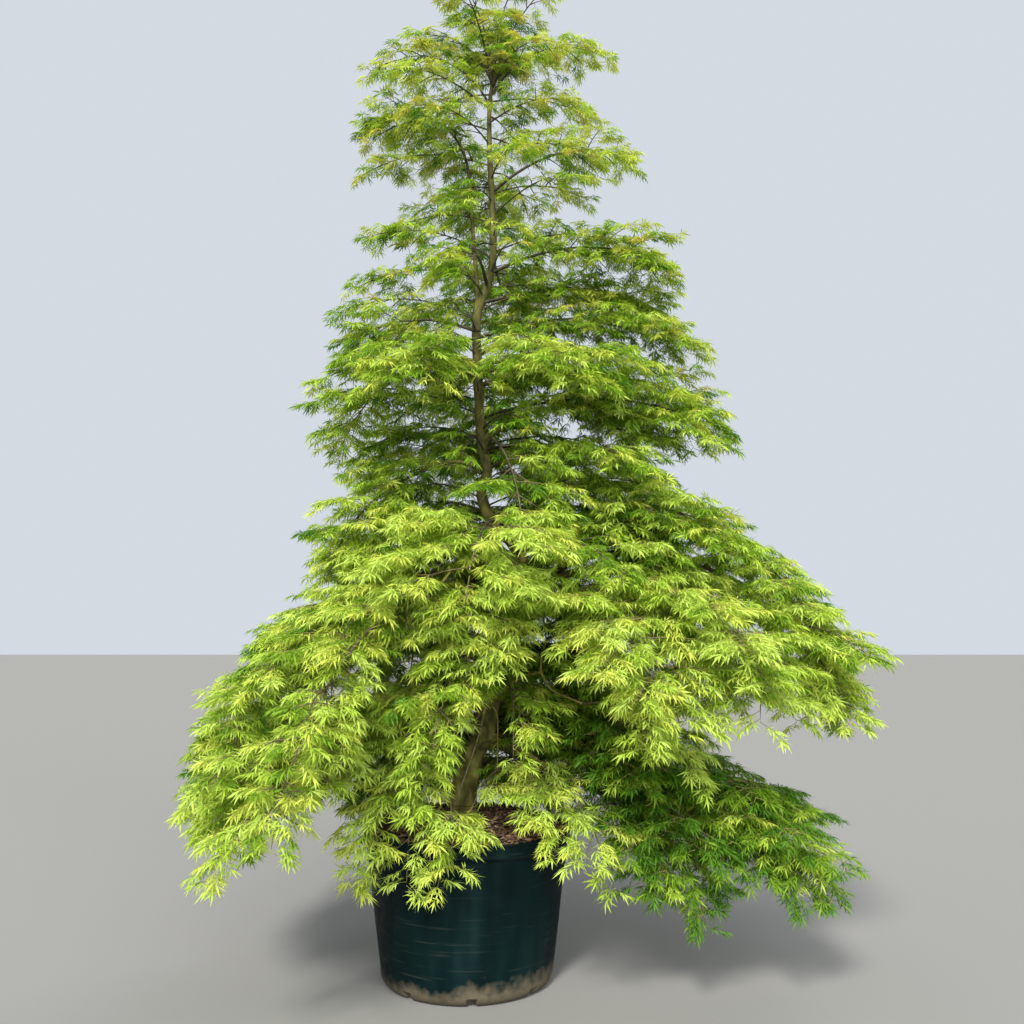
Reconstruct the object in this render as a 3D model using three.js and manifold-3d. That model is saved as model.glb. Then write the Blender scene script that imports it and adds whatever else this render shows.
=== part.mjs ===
// A weeping laceleaf maple with an upright leader, growing in a round black nursery pot.
// Units are millimetres and +Z is up. The origin is the centre of the pot's flat underside.
// The front faces -Y, and +X is on the right as seen from the front. Headings are degrees
// from +X, counterclockwise from above, so the front is at -90.

import * as THREE from "three";
import { mergeVertices } from "three/addons/utils/BufferGeometryUtils.js";
import Module from "manifold-3d";

const wasm = await Module();
wasm.setup();

// Driving sizes

const CLEARANCE = 0.35; // gap between solids that touch
const POT = {
  height: 630,
  rimRadius: 442,
  bandHeight: 56,
  bandStep: 12,
  baseRadius: 362,
  footRadius: 318,
  footRound: 46,
  wall: 7,
  floor: 9,
  sides: 28,
  drains: 8,
  drainRadius: 19,
  drainHeight: 15,
};
const COMPOST = { edgeDepth: 34, crownHeight: 655, crownRadius: 165 };
const MULCH = { edgeDepth: 6, thickness: 34, innerRadius: 132, shoulderRadius: 195 };

// The trunk and leader: x, y, z and radius at each change of direction or girth
const TRUNK_STATIONS = [
  [-26, 0, 655, 98],
  [-24, 0, 688, 76],
  [-20, 0, 755, 61],
  [13, 0, 900, 51],
  [72, 5, 1020, 45],
  [104, 15, 1150, 40],
  [158, 30, 1310, 36],
  [222, 45, 1500, 32],
  [256, 50, 1690, 29],
  [196, 40, 1830, 26],
  [98, 25, 1935, 25],
  [55, 10, 2055, 24],
  [78, 5, 2150, 23],
  [52, 0, 2330, 22],
  [36, 0, 2620, 21],
  [33, 0, 2860, 20],
  [92, 0, 3050, 18],
  [105, 0, 3230, 16],
  [86, 0, 3680, 12],
  [90, 0, 3900, 9],
  [112, 0, 4000, 7],
];
const TRUNK_RINGS = 36;
const TRUNK_SIDES = 8;

// A bough leaves the trunk at a height, arches up and ends above or below where it began
const bough = (name, height, heading, reach, arch, rise, rootRadius, tipRadius) =>
  ({ name, height, heading, reach, arch, rise, rootRadius, tipRadius });
const BOUGHS = [
  bough("bough_right_high", 1620, -4, 420, 50, 170, 24, 13),
  bough("bough_right_front", 1555, -38, 400, 50, 150, 21, 12),
  bough("bough_front_right", 1490, -62, 330, 45, 150, 18, 11),
  bough("bough_front_left", 1700, -139, 400, 50, 80, 18, 11),
  bough("bough_left_front", 1420, -160, 450, 60, 180, 22, 13),
  bough("bough_left_back", 1540, 167, 450, 60, 160, 21, 13),
  bough("bough_back_left", 1660, 125, 420, 55, 100, 19, 12),
  bough("bough_back", 1510, 82, 400, 55, 180, 18, 12),
  bough("bough_back_right", 1700, 38, 420, 50, 110, 19, 12),
  bough("bough_right_low", 1010, -9, 700, -40, -270, 21, 12),
  bough("bough_front_right_low", 940, -44, 380, 50, -20, 15, 9),
  bough("bough_front_left_low", 1080, -122, 340, 80, -10, 16, 9),
  bough("bough_front_hanging", 1320, -104, 360, 90, -200, 9, 6),
  bough("bough_leader_fork", 2890, 182, 42, 0, 590, 11, 8),
  bough("bough_tier_1_left", 2150, 183, 220, 30, 30, 11, 8),
  bough("bough_tier_1_right", 2290, -5, 240, 45, 30, 12, 8),
  bough("bough_tier_1_front", 2230, -75, 200, 30, 30, 10, 7),
  bough("bough_tier_2_left", 2640, 186, 180, 20, 10, 10, 7),
  bough("bough_tier_2_right", 2680, 3, 200, 30, 20, 10, 7),
];

// A mass of foliage is a spray that grows on from its bough's tip, or from the trunk at a height.
// It sets off at a heading and pitch, turns and droops along its length, spreads to each side,
// and forks into pairs of twigs.
const onBough = (name, root, turn, droop, length, spread, forks) =>
  ({ name, root, turn, droop, length, spread, forks });
const onTrunk = (name, height, heading, pitch, turn, droop, length, spread, forks) =>
  ({ name, height, heading, pitch, turn, droop, length, spread, forks });
const MASSES = [
  onBough("foliage_right_shoulder", "bough_right_high", -4, 66, 1060, 560, 5),
  onBough("foliage_right_front", "bough_right_front", 5, 62, 900, 540, 5),
  onBough("foliage_front_right", "bough_front_right", 8, 60, 850, 500, 5),
  onBough("foliage_front_left", "bough_front_left", -6, 60, 860, 540, 5),
  onBough("foliage_left_front", "bough_left_front", 4, 88, 1090, 600, 6),
  onBough("foliage_left_back", "bough_left_back", 6, 84, 1140, 600, 5),
  onBough("foliage_back_left", "bough_back_left", 0, 72, 1080, 580, 4),
  onBough("foliage_back", "bough_back", 0, 72, 1080, 580, 4),
  onBough("foliage_back_right", "bough_back_right", -4, 70, 1080, 580, 4),
  onBough("foliage_right_low", "bough_right_low", 4, 12, 620, 620, 5),
  onBough("foliage_front_right_low", "bough_front_right_low", 2, 40, 540, 480, 4),
  onBough("foliage_front_left_low", "bough_front_left_low", 8, 46, 520, 440, 4),
  onBough("foliage_front_hanging", "bough_front_hanging", 14, 20, 460, 330, 3),
  onTrunk("foliage_dome_left", 1880, 196, 22, -4, 66, 760, 500, 5),
  onTrunk("foliage_dome_right", 1800, -18, 34, 4, 66, 900, 500, 5),
  onTrunk("foliage_dome_front", 1790, -104, 26, 4, 84, 980, 520, 6),
  onBough("foliage_tier_1_left", "bough_tier_1_left", 2, 44, 560, 460, 4),
  onBough("foliage_tier_1_right", "bough_tier_1_right", -2, 50, 880, 480, 5),
  onBough("foliage_tier_1_front", "bough_tier_1_front", 4, 50, 540, 440, 4),
  onTrunk("foliage_tier_1_back_right", 2250, 58, 16, 0, 56, 800, 460, 4),
  onTrunk("foliage_tier_1_back_left", 2300, 124, 16, 0, 56, 780, 460, 3),
  onBough("foliage_tier_2_left", "bough_tier_2_left", -6, 44, 500, 400, 4),
  onBough("foliage_tier_2_right", "bough_tier_2_right", 4, 46, 780, 420, 5),
  onTrunk("foliage_tier_2_front_left", 2580, -118, 18, 0, 56, 640, 400, 4),
  onTrunk("foliage_tier_2_front_right", 2560, -52, 18, 0, 56, 720, 400, 4),
  onTrunk("foliage_tier_2_back", 2620, 92, 18, 0, 56, 680, 420, 4),
  onTrunk("foliage_tier_3_left", 2790, 196, 16, -6, 50, 500, 360, 3),
  onTrunk("foliage_tier_3_right", 3060, -14, 22, 0, 54, 740, 380, 4),
  onTrunk("foliage_tier_3_front", 3000, -96, 16, 0, 54, 520, 360, 3),
  onTrunk("foliage_tier_3_back", 3080, 84, 18, 0, 54, 540, 360, 3),
  onBough("foliage_tier_4_left", "bough_leader_fork", 0, 108, 560, 340, 4),
  onTrunk("foliage_tier_4_right", 3440, -22, 34, 0, 60, 580, 340, 4),
  onTrunk("foliage_tier_4_back", 3480, 98, 30, 0, 58, 480, 320, 3),
  onTrunk("foliage_top_left", 3860, 186, 58, 0, 84, 560, 320, 4),
  onTrunk("foliage_top_right", 3900, -8, 56, 0, 80, 560, 320, 4),
  onTrunk("foliage_top", 3950, 120, 86, 0, 46, 460, 300, 4),
];

// How every spray branches
const SPRAY = {
  stemSteps: 5,
  bareStem: 0.13, // share of the stem before its first fork
  trunkStemRadius: 9,
  stemTip: 4,
  twigRadius: 3.6,
  twigTip: 2.8,
  forkLength: 14, // along the limb, the collar that a pair grows from
  twigAngle: [72, 46], // from the stem at its root and at its tip
  twigDroop: 26,
  lift: 16, // pairs spread above and below the stem in turn
  narrowEnd: 0.55, // how wide the spray is at its root, as a share of its greatest width
  leafLength: [315, 265], // below and above the change of height
  changeHeight: 2050,
  longTwig: 190, // a twig longer than this bears a pair of leaves halfway
  leafAngle: 86,
  leafDroop: 18,
  leafSpacing: 8, // least distance between two leaves of a spray
  twigSpacing: 4, // least distance between a leaf and a twig
  limbMargin: 5,
  massMargin: 7,
  flatness: 1.35, // how much more a step up counts than a step out, in sharing out the space
};

// A leaf spray seen from above: three lobe tips and the notches between them, from its root at 0
const LEAF_OUTLINE = [
  [0.5, -0.39],
  [0.56, -0.17],
  [1, 0],
  [0.56, 0.17],
  [0.5, 0.39],
];
// The underside's triangles, by place in the row: right root corner, outline, left root corner
const LEAF_UNDERSIDE = [
  [0, 1, 2],
  [0, 2, 6],
  [6, 2, 4],
  [2, 3, 4],
  [4, 5, 6],
];
const LEAF_HEART = 0.32; // where the blade is thickest, as a share of its length
const LEAF_THICKNESS = 0.024;

// Small tools

const radians = THREE.MathUtils.degToRad;
const mix = THREE.MathUtils.lerp;

// A repeatable stream of numbers from 0 to 1
function seeded(seed) {
  let state = seed >>> 0;
  return () => {
    state = (state + 0x6d2b79f5) >>> 0;
    let t = state;
    t = Math.imul(t ^ (t >>> 15), t | 1);
    t ^= t + Math.imul(t ^ (t >>> 7), t | 61);
    return ((t ^ (t >>> 14)) >>> 0) / 4294967296;
  };
}

function direction(heading, pitch) {
  const level = Math.cos(radians(pitch));
  return new THREE.Vector3(
    level * Math.cos(radians(heading)),
    level * Math.sin(radians(heading)),
    Math.sin(radians(pitch)),
  );
}

function solidOf(geometry) {
  const bare = geometry.clone();
  bare.deleteAttribute("normal");
  bare.deleteAttribute("uv");
  const merged = mergeVertices(bare, 1e-4);
  return new wasm.Manifold(
    new wasm.Mesh({
      numProp: 3,
      vertProperties: merged.attributes.position.array,
      triVerts: new Uint32Array(merged.index.array),
    }),
  );
}

function geometryOf(solid) {
  const mesh = solid.getMesh();
  const geometry = new THREE.BufferGeometry();
  geometry.setAttribute("position", new THREE.BufferAttribute(mesh.vertProperties, 3));
  geometry.setIndex(new THREE.BufferAttribute(mesh.triVerts, 1));
  return geometry;
}

// The main body of a solid: loose scraps are dropped, and sealed hollows are filled
function mainBody(solid) {
  return solid.decompose().reduce((best, piece) => (piece.volume() > best.volume() ? piece : best));
}

// A cylinder bent along a curve, with its radius given for each share of the length
function limb(curve, radiusAt, sides, steps) {
  const geometry = new THREE.CylinderGeometry(1, 1, 1, sides, steps);
  const frames = curve.computeFrenetFrames(steps);
  const place = geometry.attributes.position;
  for (let i = 0; i < place.count; i += 1) {
    const share = place.getY(i) + 0.5;
    const ring = Math.round(share * steps);
    const radius = radiusAt(share);
    const point = curve
      .getPointAt(share)
      .addScaledVector(frames.normals[ring], place.getX(i) * radius)
      .addScaledVector(frames.binormals[ring], -place.getZ(i) * radius);
    place.setXYZ(i, point.x, point.y, point.z);
  }
  return solidOf(geometry);
}

// The pot

function potProfile() {
  const { height, rimRadius, bandHeight, bandStep, baseRadius, footRadius, footRound, wall, floor } = POT;
  const inner = baseRadius - wall;
  return [
    [0, 0],
    [footRadius, 0],
    [mix(footRadius, baseRadius, 0.62), footRound * 0.2],
    [mix(footRadius, baseRadius, 0.92), footRound * 0.55],
    [baseRadius, footRound],
    [rimRadius - bandStep - 2, height - bandHeight - 6],
    [rimRadius - 2, height - bandHeight],
    [rimRadius, height - wall / 2],
    [rimRadius - 4, height],
    [rimRadius - bandStep - wall, height],
    [inner, footRound],
    [inner - 26, floor + 4],
    [footRadius - 24, floor],
    [0, floor],
  ].map(([x, y]) => new THREE.Vector2(x, y));
}

function makePot() {
  const lathe = new THREE.LatheGeometry(potProfile(), POT.sides).rotateX(Math.PI / 2);
  let pot = solidOf(lathe);
  const cutLength = 90;
  for (let i = 0; i < POT.drains; i += 1) {
    const turn = ((i + 0.12) / POT.drains) * 2 * Math.PI - Math.PI / 2;
    const drain = new THREE.CylinderGeometry(POT.drainRadius, POT.drainRadius, cutLength, 8)
      .rotateZ(Math.PI / 2)
      .translate(POT.baseRadius - 20, 0, POT.drainHeight)
      .rotateZ(turn);
    pot = pot.subtract(solidOf(drain));
  }
  return mainBody(pot);
}

// The inner wall's radius at a height above the rounded foot
function innerRadius(z) {
  const { height, rimRadius, bandStep, baseRadius, footRound, wall } = POT;
  const share = (z - footRound) / (height - footRound);
  return mix(baseRadius - wall, rimRadius - bandStep - wall, share);
}

function makeCompost() {
  const { edgeDepth, crownHeight, crownRadius } = COMPOST;
  const { footRound, footRadius, floor, height } = POT;
  const top = height - edgeDepth;
  const gap = CLEARANCE * 3;
  const profile = [
    [0, floor + CLEARANCE],
    [footRadius - 30, floor + CLEARANCE],
    [innerRadius(footRound) - 34, floor + 12],
    [innerRadius(footRound) - gap - 4, footRound],
    [innerRadius(top) - gap, top],
    [mix(innerRadius(top), crownRadius, 0.5), mix(top, crownHeight, 0.6)],
    [crownRadius, crownHeight],
    [0, crownHeight],
  ].map(([x, y]) => new THREE.Vector2(x, y));
  return solidOf(new THREE.LatheGeometry(profile, POT.sides / 2).rotateX(Math.PI / 2));
}

// A ring of bark mulch that lies on the compost round the trunk
function makeMulch() {
  const { edgeDepth, thickness, innerRadius: hole, shoulderRadius } = MULCH;
  const { crownHeight, crownRadius } = COMPOST;
  const foot = POT.height - COMPOST.edgeDepth;
  const top = POT.height - edgeDepth;
  const gap = CLEARANCE * 3;
  const outer = innerRadius(foot) - gap - 2;
  const profile = [
    [hole, crownHeight + CLEARANCE],
    [crownRadius, crownHeight + CLEARANCE],
    [mix(innerRadius(foot), crownRadius, 0.5), mix(foot, crownHeight, 0.6) + gap + 1],
    [outer, foot + gap + 1],
    [outer - 1, top - 6],
    [mix(outer, shoulderRadius, 0.35), mix(top, crownHeight + thickness, 0.5)],
    [shoulderRadius, crownHeight + thickness],
    [hole + 14, crownHeight + thickness - 3],
    [hole, crownHeight + thickness - 14],
    [hole, crownHeight + CLEARANCE],
  ].map(([x, y]) => new THREE.Vector2(x, y));
  return solidOf(new THREE.LatheGeometry(profile, POT.sides / 2).rotateX(Math.PI / 2));
}

// The space that foliage keeps out of round the pot and over the mulch
function potSurround() {
  const { height, rimRadius, baseRadius } = POT;
  const { crownHeight } = COMPOST;
  const margin = 10;
  const heap = crownHeight + MULCH.thickness + margin;
  const profile = [
    [0, -20],
    [baseRadius + margin, -20],
    [rimRadius + margin, height - POT.bandHeight - margin],
    [rimRadius + margin, height + margin],
    [MULCH.shoulderRadius + margin, heap],
    [0, heap],
  ].map(([x, y]) => new THREE.Vector2(x, y));
  return solidOf(new THREE.LatheGeometry(profile, POT.sides).rotateX(Math.PI / 2));
}

// The trunk

const trunkCurve = new THREE.CatmullRomCurve3(
  TRUNK_STATIONS.map(([x, y, z]) => new THREE.Vector3(x, y, z)),
);

function trunkRadius(z) {
  const above = TRUNK_STATIONS.findIndex((station) => station[2] > z);
  if (above < 1) return TRUNK_STATIONS[above === 0 ? 0 : TRUNK_STATIONS.length - 1][3];
  const [low, high] = [TRUNK_STATIONS[above - 1], TRUNK_STATIONS[above]];
  return mix(low[3], high[3], (z - low[2]) / (high[2] - low[2]));
}

// Where the trunk's middle is at a height
function trunkAt(z) {
  let [low, high] = [0, 1];
  for (let i = 0; i < 30; i += 1) {
    const middle = (low + high) / 2;
    if (trunkCurve.getPointAt(middle).z < z) low = middle;
    else high = middle;
  }
  return trunkCurve.getPointAt(low);
}

// The trunk stands on the compost by a flat cut, square to the ground
function makeTrunk(extra) {
  const radiusAt = (share) => trunkRadius(trunkCurve.getPointAt(share).z) + extra;
  const whole = limb(trunkCurve, radiusAt, TRUNK_SIDES, TRUNK_RINGS);
  const below = new THREE.BoxGeometry(600, 600, 200)
    .translate(0, 0, COMPOST.crownHeight + CLEARANCE - 100);
  return extra ? whole : whole.subtract(solidOf(below));
}

// Boughs

function boughCurve({ height, heading, reach, arch, rise }) {
  const root = trunkAt(height);
  const steps = 8;
  const points = [];
  for (let i = 0; i <= steps; i += 1) {
    const share = i / steps;
    const out = direction(heading, 0).multiplyScalar(reach * share);
    out.z = 4 * arch * share * (1 - share) + rise * share;
    points.push(out.add(root));
  }
  return new THREE.CatmullRomCurve3(points);
}

// Foliage

// A direction tipped towards the ground by an angle
function tipped(way, angle) {
  const level = Math.hypot(way.x, way.y);
  const pitch = Math.max(Math.atan2(way.z, level) - radians(angle), radians(-86));
  const flat = new THREE.Vector3(way.x, way.y, 0).normalize();
  return flat.multiplyScalar(Math.cos(pitch)).setZ(Math.sin(pitch));
}

// The line that a stem or twig follows: it sets off, turns about the upright and droops
function droopingCurve(start, way, turn, droop, length, steps) {
  const points = [start.clone()];
  const at = start.clone();
  const up = new THREE.Vector3(0, 0, 1);
  const fine = steps * 4;
  for (let i = 0; i < fine; i += 1) {
    const share = (i + 0.5) / fine;
    const step = tipped(way, droop * share ** 1.4).applyAxisAngle(up, radians(turn * share));
    at.addScaledVector(step, length / fine);
    if (i % 4 === 3) points.push(at.clone());
  }
  return new THREE.CatmullRomCurve3(points);
}

// Across and away from the flat spread of a spray, at a place where it runs along a direction
function spreadAt(way) {
  const across = new THREE.Vector3(-way.y, way.x, 0).normalize();
  return { across, away: way.clone().cross(across) };
}

// The mass's stem: from its bough's end face, or out of the trunk's middle
function stemOf(mass, boughs) {
  const { turn, droop, length } = mass;
  if (mass.root) {
    const { curve, spec } = boughs.get(mass.root);
    const way = curve.getTangentAt(1);
    const start = curve.getPointAt(1).addScaledVector(way, CLEARANCE);
    const line = droopingCurve(start, way, turn, droop, length, SPRAY.stemSteps);
    return { line, way, rootRadius: spec.tipRadius - 0.5 };
  }
  const way = direction(mass.heading, mass.pitch);
  const line = droopingCurve(trunkAt(mass.height), way, turn, droop, length, SPRAY.stemSteps);
  return { line, way, rootRadius: Math.min(SPRAY.trunkStemRadius, trunkRadius(mass.height) * 0.7) };
}

// A leaf's place in space: where each outline point, the heart and any root corner goes
function leafFrame(root, ahead, away, length) {
  const side = away.clone().cross(ahead).normalize();
  const up = ahead.clone().cross(side);
  const place = (x, y, z) => root.clone()
    .addScaledVector(ahead, x * length)
    .addScaledVector(side, y * length)
    .addScaledVector(up, z * length);
  return {
    outline: LEAF_OUTLINE.map(([x, y]) => place(x, y, 0)),
    heart: place(LEAF_HEART, 0, LEAF_THICKNESS),
  };
}

// A leaf's edge as a row of spots and its blade as triangles, for testing where it reaches
function traceOf(root, { outline, heart }) {
  const rim = [root, ...outline];
  const edge = [];
  const blade = rim.map((a, i) => {
    const b = rim[(i + 1) % rim.length];
    const count = Math.ceil(a.distanceTo(b) / 14);
    for (let k = 0; k < count; k += 1) edge.push(a.clone().lerp(b, k / count));
    return new THREE.Triangle(a, b, heart);
  });
  return { root, edge, blade };
}

const nearest = new THREE.Vector3();

function distanceTo(blade, point) {
  return Math.min(...blade.map((one) => one.closestPointToPoint(point, nearest).distanceTo(point)));
}

// True if one leaf's edge keeps away from another's blade, by less where both grow from one fork
function edgeClears(one, other) {
  return one.edge.every((spot) => {
    const out = spot.distanceTo(one.root);
    return out < 8 || distanceTo(other.blade, spot) > Math.min(SPRAY.leafSpacing, out * 0.1);
  });
}

// True if every spot is nearer to the mass's own stem than to any other
function inOwnSpace(spots, own, sites) {
  return spots.every((spot) => {
    let [mine, others] = [Infinity, Infinity];
    for (const { at, name } of sites) {
      const rise = (at.z - spot.z) * SPRAY.flatness;
      const away = Math.hypot(at.x - spot.x, at.y - spot.y, rise);
      if (name === own) mine = Math.min(mine, away);
      else others = Math.min(others, away);
    }
    return mine + SPRAY.massMargin * 2 < others;
  });
}

// A closed skin of triangles that is grown piece by piece, so that a spray is a single body.
// A ring is three corners round a limb: above it, to its right and to its left.
// A socket is a triangle left open, where a twig or a leaf grows on: above, right and left.
class Skin {
  constructor() {
    this.corners = [];
    this.faces = [];
    this.owners = [];
  }

  add(owner, ...faces) {
    this.faces.push(...faces);
    for (let i = 0; i < faces.length; i += 1) this.owners.push(owner);
  }

  corner(at) {
    this.corners.push(at);
    return this.corners.length - 1;
  }

  ring(centre, way, radius) {
    const { across, away } = spreadAt(way);
    return [90, 210, 330].map((turn) => this.corner(centre.clone()
      .addScaledVector(across, Math.cos(radians(turn)) * radius)
      .addScaledVector(away, Math.sin(radians(turn)) * radius)));
  }

  join(owner, from, to) {
    for (let i = 0; i < 3; i += 1) {
      const j = (i + 1) % 3;
      this.add(owner, [from[i], from[j], to[j]], [from[i], to[j], to[i]]);
    }
  }

  // A collar between two rings, with a socket on its right and one on its left
  fork(owner, [a0, a1, a2], [b0, b1, b2]) {
    this.add(owner, [a0, b1, b0], [a1, a2, b2], [a1, b2, b1], [a2, a0, b0]);
    return { right: [a0, a1, b1], left: [b0, b2, a2] };
  }

  leaf(socket, leaf) {
    const [top, right, left] = socket;
    const middle = this.corner(leaf.heart);
    const rim = [right, ...leaf.outline.map((at) => this.corner(at)), left];
    for (let i = 0; i + 1 < rim.length; i += 1) this.add(leaf, [rim[i], rim[i + 1], middle]);
    this.add(leaf, [left, top, middle], [top, right, middle]);
    for (const [a, b, c] of LEAF_UNDERSIDE) this.add(leaf, [rim[c], rim[b], rim[a]]);
  }

  // The leaves and twigs whose faces pass through others
  crossing() {
    const box = (face) => new THREE.Box3().setFromPoints(face.map((corner) => this.corners[corner]));
    const boxes = this.faces.map(box);
    const found = new Set();
    this.faces.forEach((face, i) => {
      for (let j = i + 1; j < this.faces.length; j += 1) {
        const other = this.faces[j];
        const owner = this.owners[j] ?? this.owners[i];
        if (owner === null || !boxes[i].intersectsBox(boxes[j])) continue;
        if (this.pierces(face, other) || this.pierces(other, face)) {
          found.add(owner);
        }
      }
    });
    return found;
  }

  // True if an edge of one face passes through the inside of another
  pierces(face, other) {
    const [p, q, r] = other.map((corner) => this.corners[corner]);
    return face.some((start, i) => {
      const end = face[(i + 1) % 3];
      if (other.includes(start) || other.includes(end)) return false;
      const from = this.corners[start];
      const way = this.corners[end].clone().sub(from);
      const hit = new THREE.Ray(from, way.clone().normalize())
        .intersectTriangle(p, q, r, false, new THREE.Vector3());
      return hit !== null && hit.distanceTo(from) < way.length();
    });
  }

  solid() {
    return new wasm.Manifold(new wasm.Mesh({
      numProp: 3,
      vertProperties: new Float32Array(this.corners.flatMap(({ x, y, z }) => [x, y, z])),
      triVerts: new Uint32Array(this.faces.flat()),
    }));
  }
}

// A limb drawn as straight lengths between its forks
function branchOf(curve, shares, rootRadius, tipRadius) {
  const points = shares.map((share) => curve.getPointAt(share));
  const radii = shares.map((share) => mix(rootRadius, tipRadius, share));
  const ways = points.map((_, i) =>
    points[Math.min(i + 1, points.length - 1)].clone().sub(points[Math.max(i - 1, 0)]).normalize());
  return { points, radii, ways };
}

// Its lengths as beads, for testing what comes near
function beadsOn({ points, radii }) {
  return points.slice(1).flatMap((end, i) => {
    const start = points[i];
    const count = Math.ceil(start.distanceTo(end) / 10);
    return Array.from({ length: count }, (_, k) => ({
      at: start.clone().lerp(end, (k + 1) / count),
      radius: radii[i],
    }));
  });
}

function growMass(mass, stem, sites, limbsGrown, trunkGrown, seed) {
  const random = seeded(seed);
  const around = () => random() * 2 - 1;
  const { line, rootRadius } = stem;
  const leafLength = SPRAY.leafLength[line.getPointAt(0).z < SPRAY.changeHeight ? 0 : 1];
  const clearOfLimbs = (points) =>
    wasm.Manifold.hull(points.map(({ x, y, z }) => [x, y, z])).intersect(limbsGrown).isEmpty();

  // The twigs, in pairs along the stem
  const shares = Array.from({ length: mass.forks }, (_, i) => mix(SPRAY.bareStem, 1, i / mass.forks));
  const main = branchOf(line, [0, ...shares, 1], rootRadius, SPRAY.stemTip);
  const beads = beadsOn(main);
  main.twigs = shares.map((share, i) => {
    const way = main.ways[i + 1];
    const { away } = spreadAt(way);
    const lift = SPRAY.lift * (i % 2 ? -1 : 1) + 4 * around();
    return [1, -1].map((side) => {
      const angle = (mix(...SPRAY.twigAngle, share) + 6 * around()) * side;
      const ahead = tipped(way.clone().applyAxisAngle(away, radians(angle)), -lift);
      const width = mass.spread * mix(SPRAY.narrowEnd, 1, Math.min(1, share * 1.3));
      const reach = Math.max(width - leafLength * 0.75, 70) * (1 + 0.12 * around());
      for (const part of [1, 0.75, 0.5, 0.3]) {
        const length = reach * part;
        const curve = droopingCurve(main.points[i + 1], ahead, 0, SPRAY.twigDroop, length, 2);
        const twigShares = length > SPRAY.longTwig ? [0, 0.5, 1] : [0, 1];
        const twig = branchOf(curve, twigShares, SPRAY.twigRadius, SPRAY.twigTip);
        const own = beadsOn(twig).map(({ at }) => at);
        const thick = [twig.points[0], ...twig.points.slice(1)].flatMap((at) => [
          at,
          at.clone().add(new THREE.Vector3(SPRAY.twigRadius, 0, SPRAY.twigRadius)),
          at.clone().add(new THREE.Vector3(0, SPRAY.twigRadius, -SPRAY.twigRadius)),
        ]);
        if (inOwnSpace(own.slice(2), mass.name, sites) && clearOfLimbs(thick)) return twig;
      }
      return null;
    });
  });
  const twigs = main.twigs.flat().filter(Boolean);
  for (const twig of twigs) beads.push(...beadsOn(twig).slice(1));

  // The leaves: a pair at each fork of a twig and one at its tip
  const leaves = [];
  const clearOfOwn = (leaf, length) =>
    leaves.every((other) => other.root.distanceTo(leaf.root) > other.length + length ||
      (edgeClears(leaf, other) && edgeClears(other, leaf))) &&
    beads.every(({ at, radius }) => at.distanceTo(leaf.root) < 24 ||
      at.distanceTo(leaf.root) > length * 1.1 ||
      distanceTo(leaf.blade, at) > radius + SPRAY.twigSpacing);
  const findLeaf = (root, way, swing) => {
    const { away } = spreadAt(way);
    const droop = SPRAY.leafDroop * (1 + around());
    const size = leafLength * (1 + 0.15 * around());
    for (const [scale, share] of [[1, 1], [1, 1.18], [0.86, 0.92], [0.86, 1.25], [0.72, 1.05], [0.6, 1.15]]) {
      const length = size * scale;
      const ahead = tipped(way.clone().applyAxisAngle(away, radians(swing * share)), droop);
      const frame = leafFrame(root, ahead, away, length);
      const trace = traceOf(root, frame);
      const free = inOwnSpace(trace.edge, mass.name, sites) && clearOfOwn(trace, length);
      if (free && clearOfLimbs([root, frame.heart, ...frame.outline])) {
        leaves.push({ ...trace, length });
        return frame;
      }
    }
    return null;
  };
  const leavesOn = (branch, first) => {
    const last = branch.points.length - 1;
    branch.leaves = branch.points.map((point, i) => {
      if (i < first) return [null, null];
      const way = branch.ways[i];
      const root = i < last ? point : point.clone().addScaledVector(way, -SPRAY.forkLength / 2);
      if (i === last) branch.tipLeaf = findLeaf(point, way, 6 * around());
      const swing = SPRAY.leafAngle + 6 * around();
      return [findLeaf(root, way, swing), findLeaf(root, way, -swing)];
    });
    branch.leafy = Boolean(branch.tipLeaf) || branch.leaves.flat().some(Boolean);
  };
  leavesOn(main, main.points.length - 1);
  for (const twig of twigs) leavesOn(twig, 1);

  // The skin, from the root to the tips, without any leaf or twig that passes through another
  const dropped = new Set();
  const growSkin = () => {
    const skin = new Skin();
    const growAlong = (branch, owner, from) => {
      let ring = from;
      branch.points.forEach((point, i) => {
        if (i === 0) return;
        const last = i === branch.points.length - 1;
        const back = last ? SPRAY.forkLength : SPRAY.forkLength / 2;
        const [way, radius] = [branch.ways[i], branch.radii[i]];
        const collar = [point.clone().addScaledVector(way, -back), point.clone()];
        if (!last) collar[1].addScaledVector(way, back);
        const ends = collar.map((at) => skin.ring(at, way, radius));
        skin.join(owner, ring, ends[0]);
        const sockets = skin.fork(owner, ...ends);
        ring = ends[1];
        [sockets.left, sockets.right].forEach((socket, side) => {
          const twig = branch.twigs?.[i - 1]?.[side];
          const leaf = branch.leaves[i][side];
          if (twig?.leafy && !dropped.has(twig)) growAlong(twig, twig, socket);
          else if (leaf && !dropped.has(leaf)) skin.leaf(socket, leaf);
          else skin.add(owner, socket);
        });
      });
      if (branch.tipLeaf && !dropped.has(branch.tipLeaf)) skin.leaf(ring, branch.tipLeaf);
      else skin.add(owner, ring);
    };
    const base = skin.ring(main.points[0], stem.way, rootRadius);
    skin.add(null, [base[0], base[2], base[1]]);
    growAlong(main, null, base);
    return skin;
  };
  let skin = growSkin();
  for (let found = skin.crossing(); found.size > 0; found = skin.crossing()) {
    for (const one of found) dropped.add(one);
    skin = growSkin();
  }
  const whole = skin.solid();
  return mass.root ? whole : mainBody(whole.subtract(trunkGrown));
}

// Putting the tree together

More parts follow.
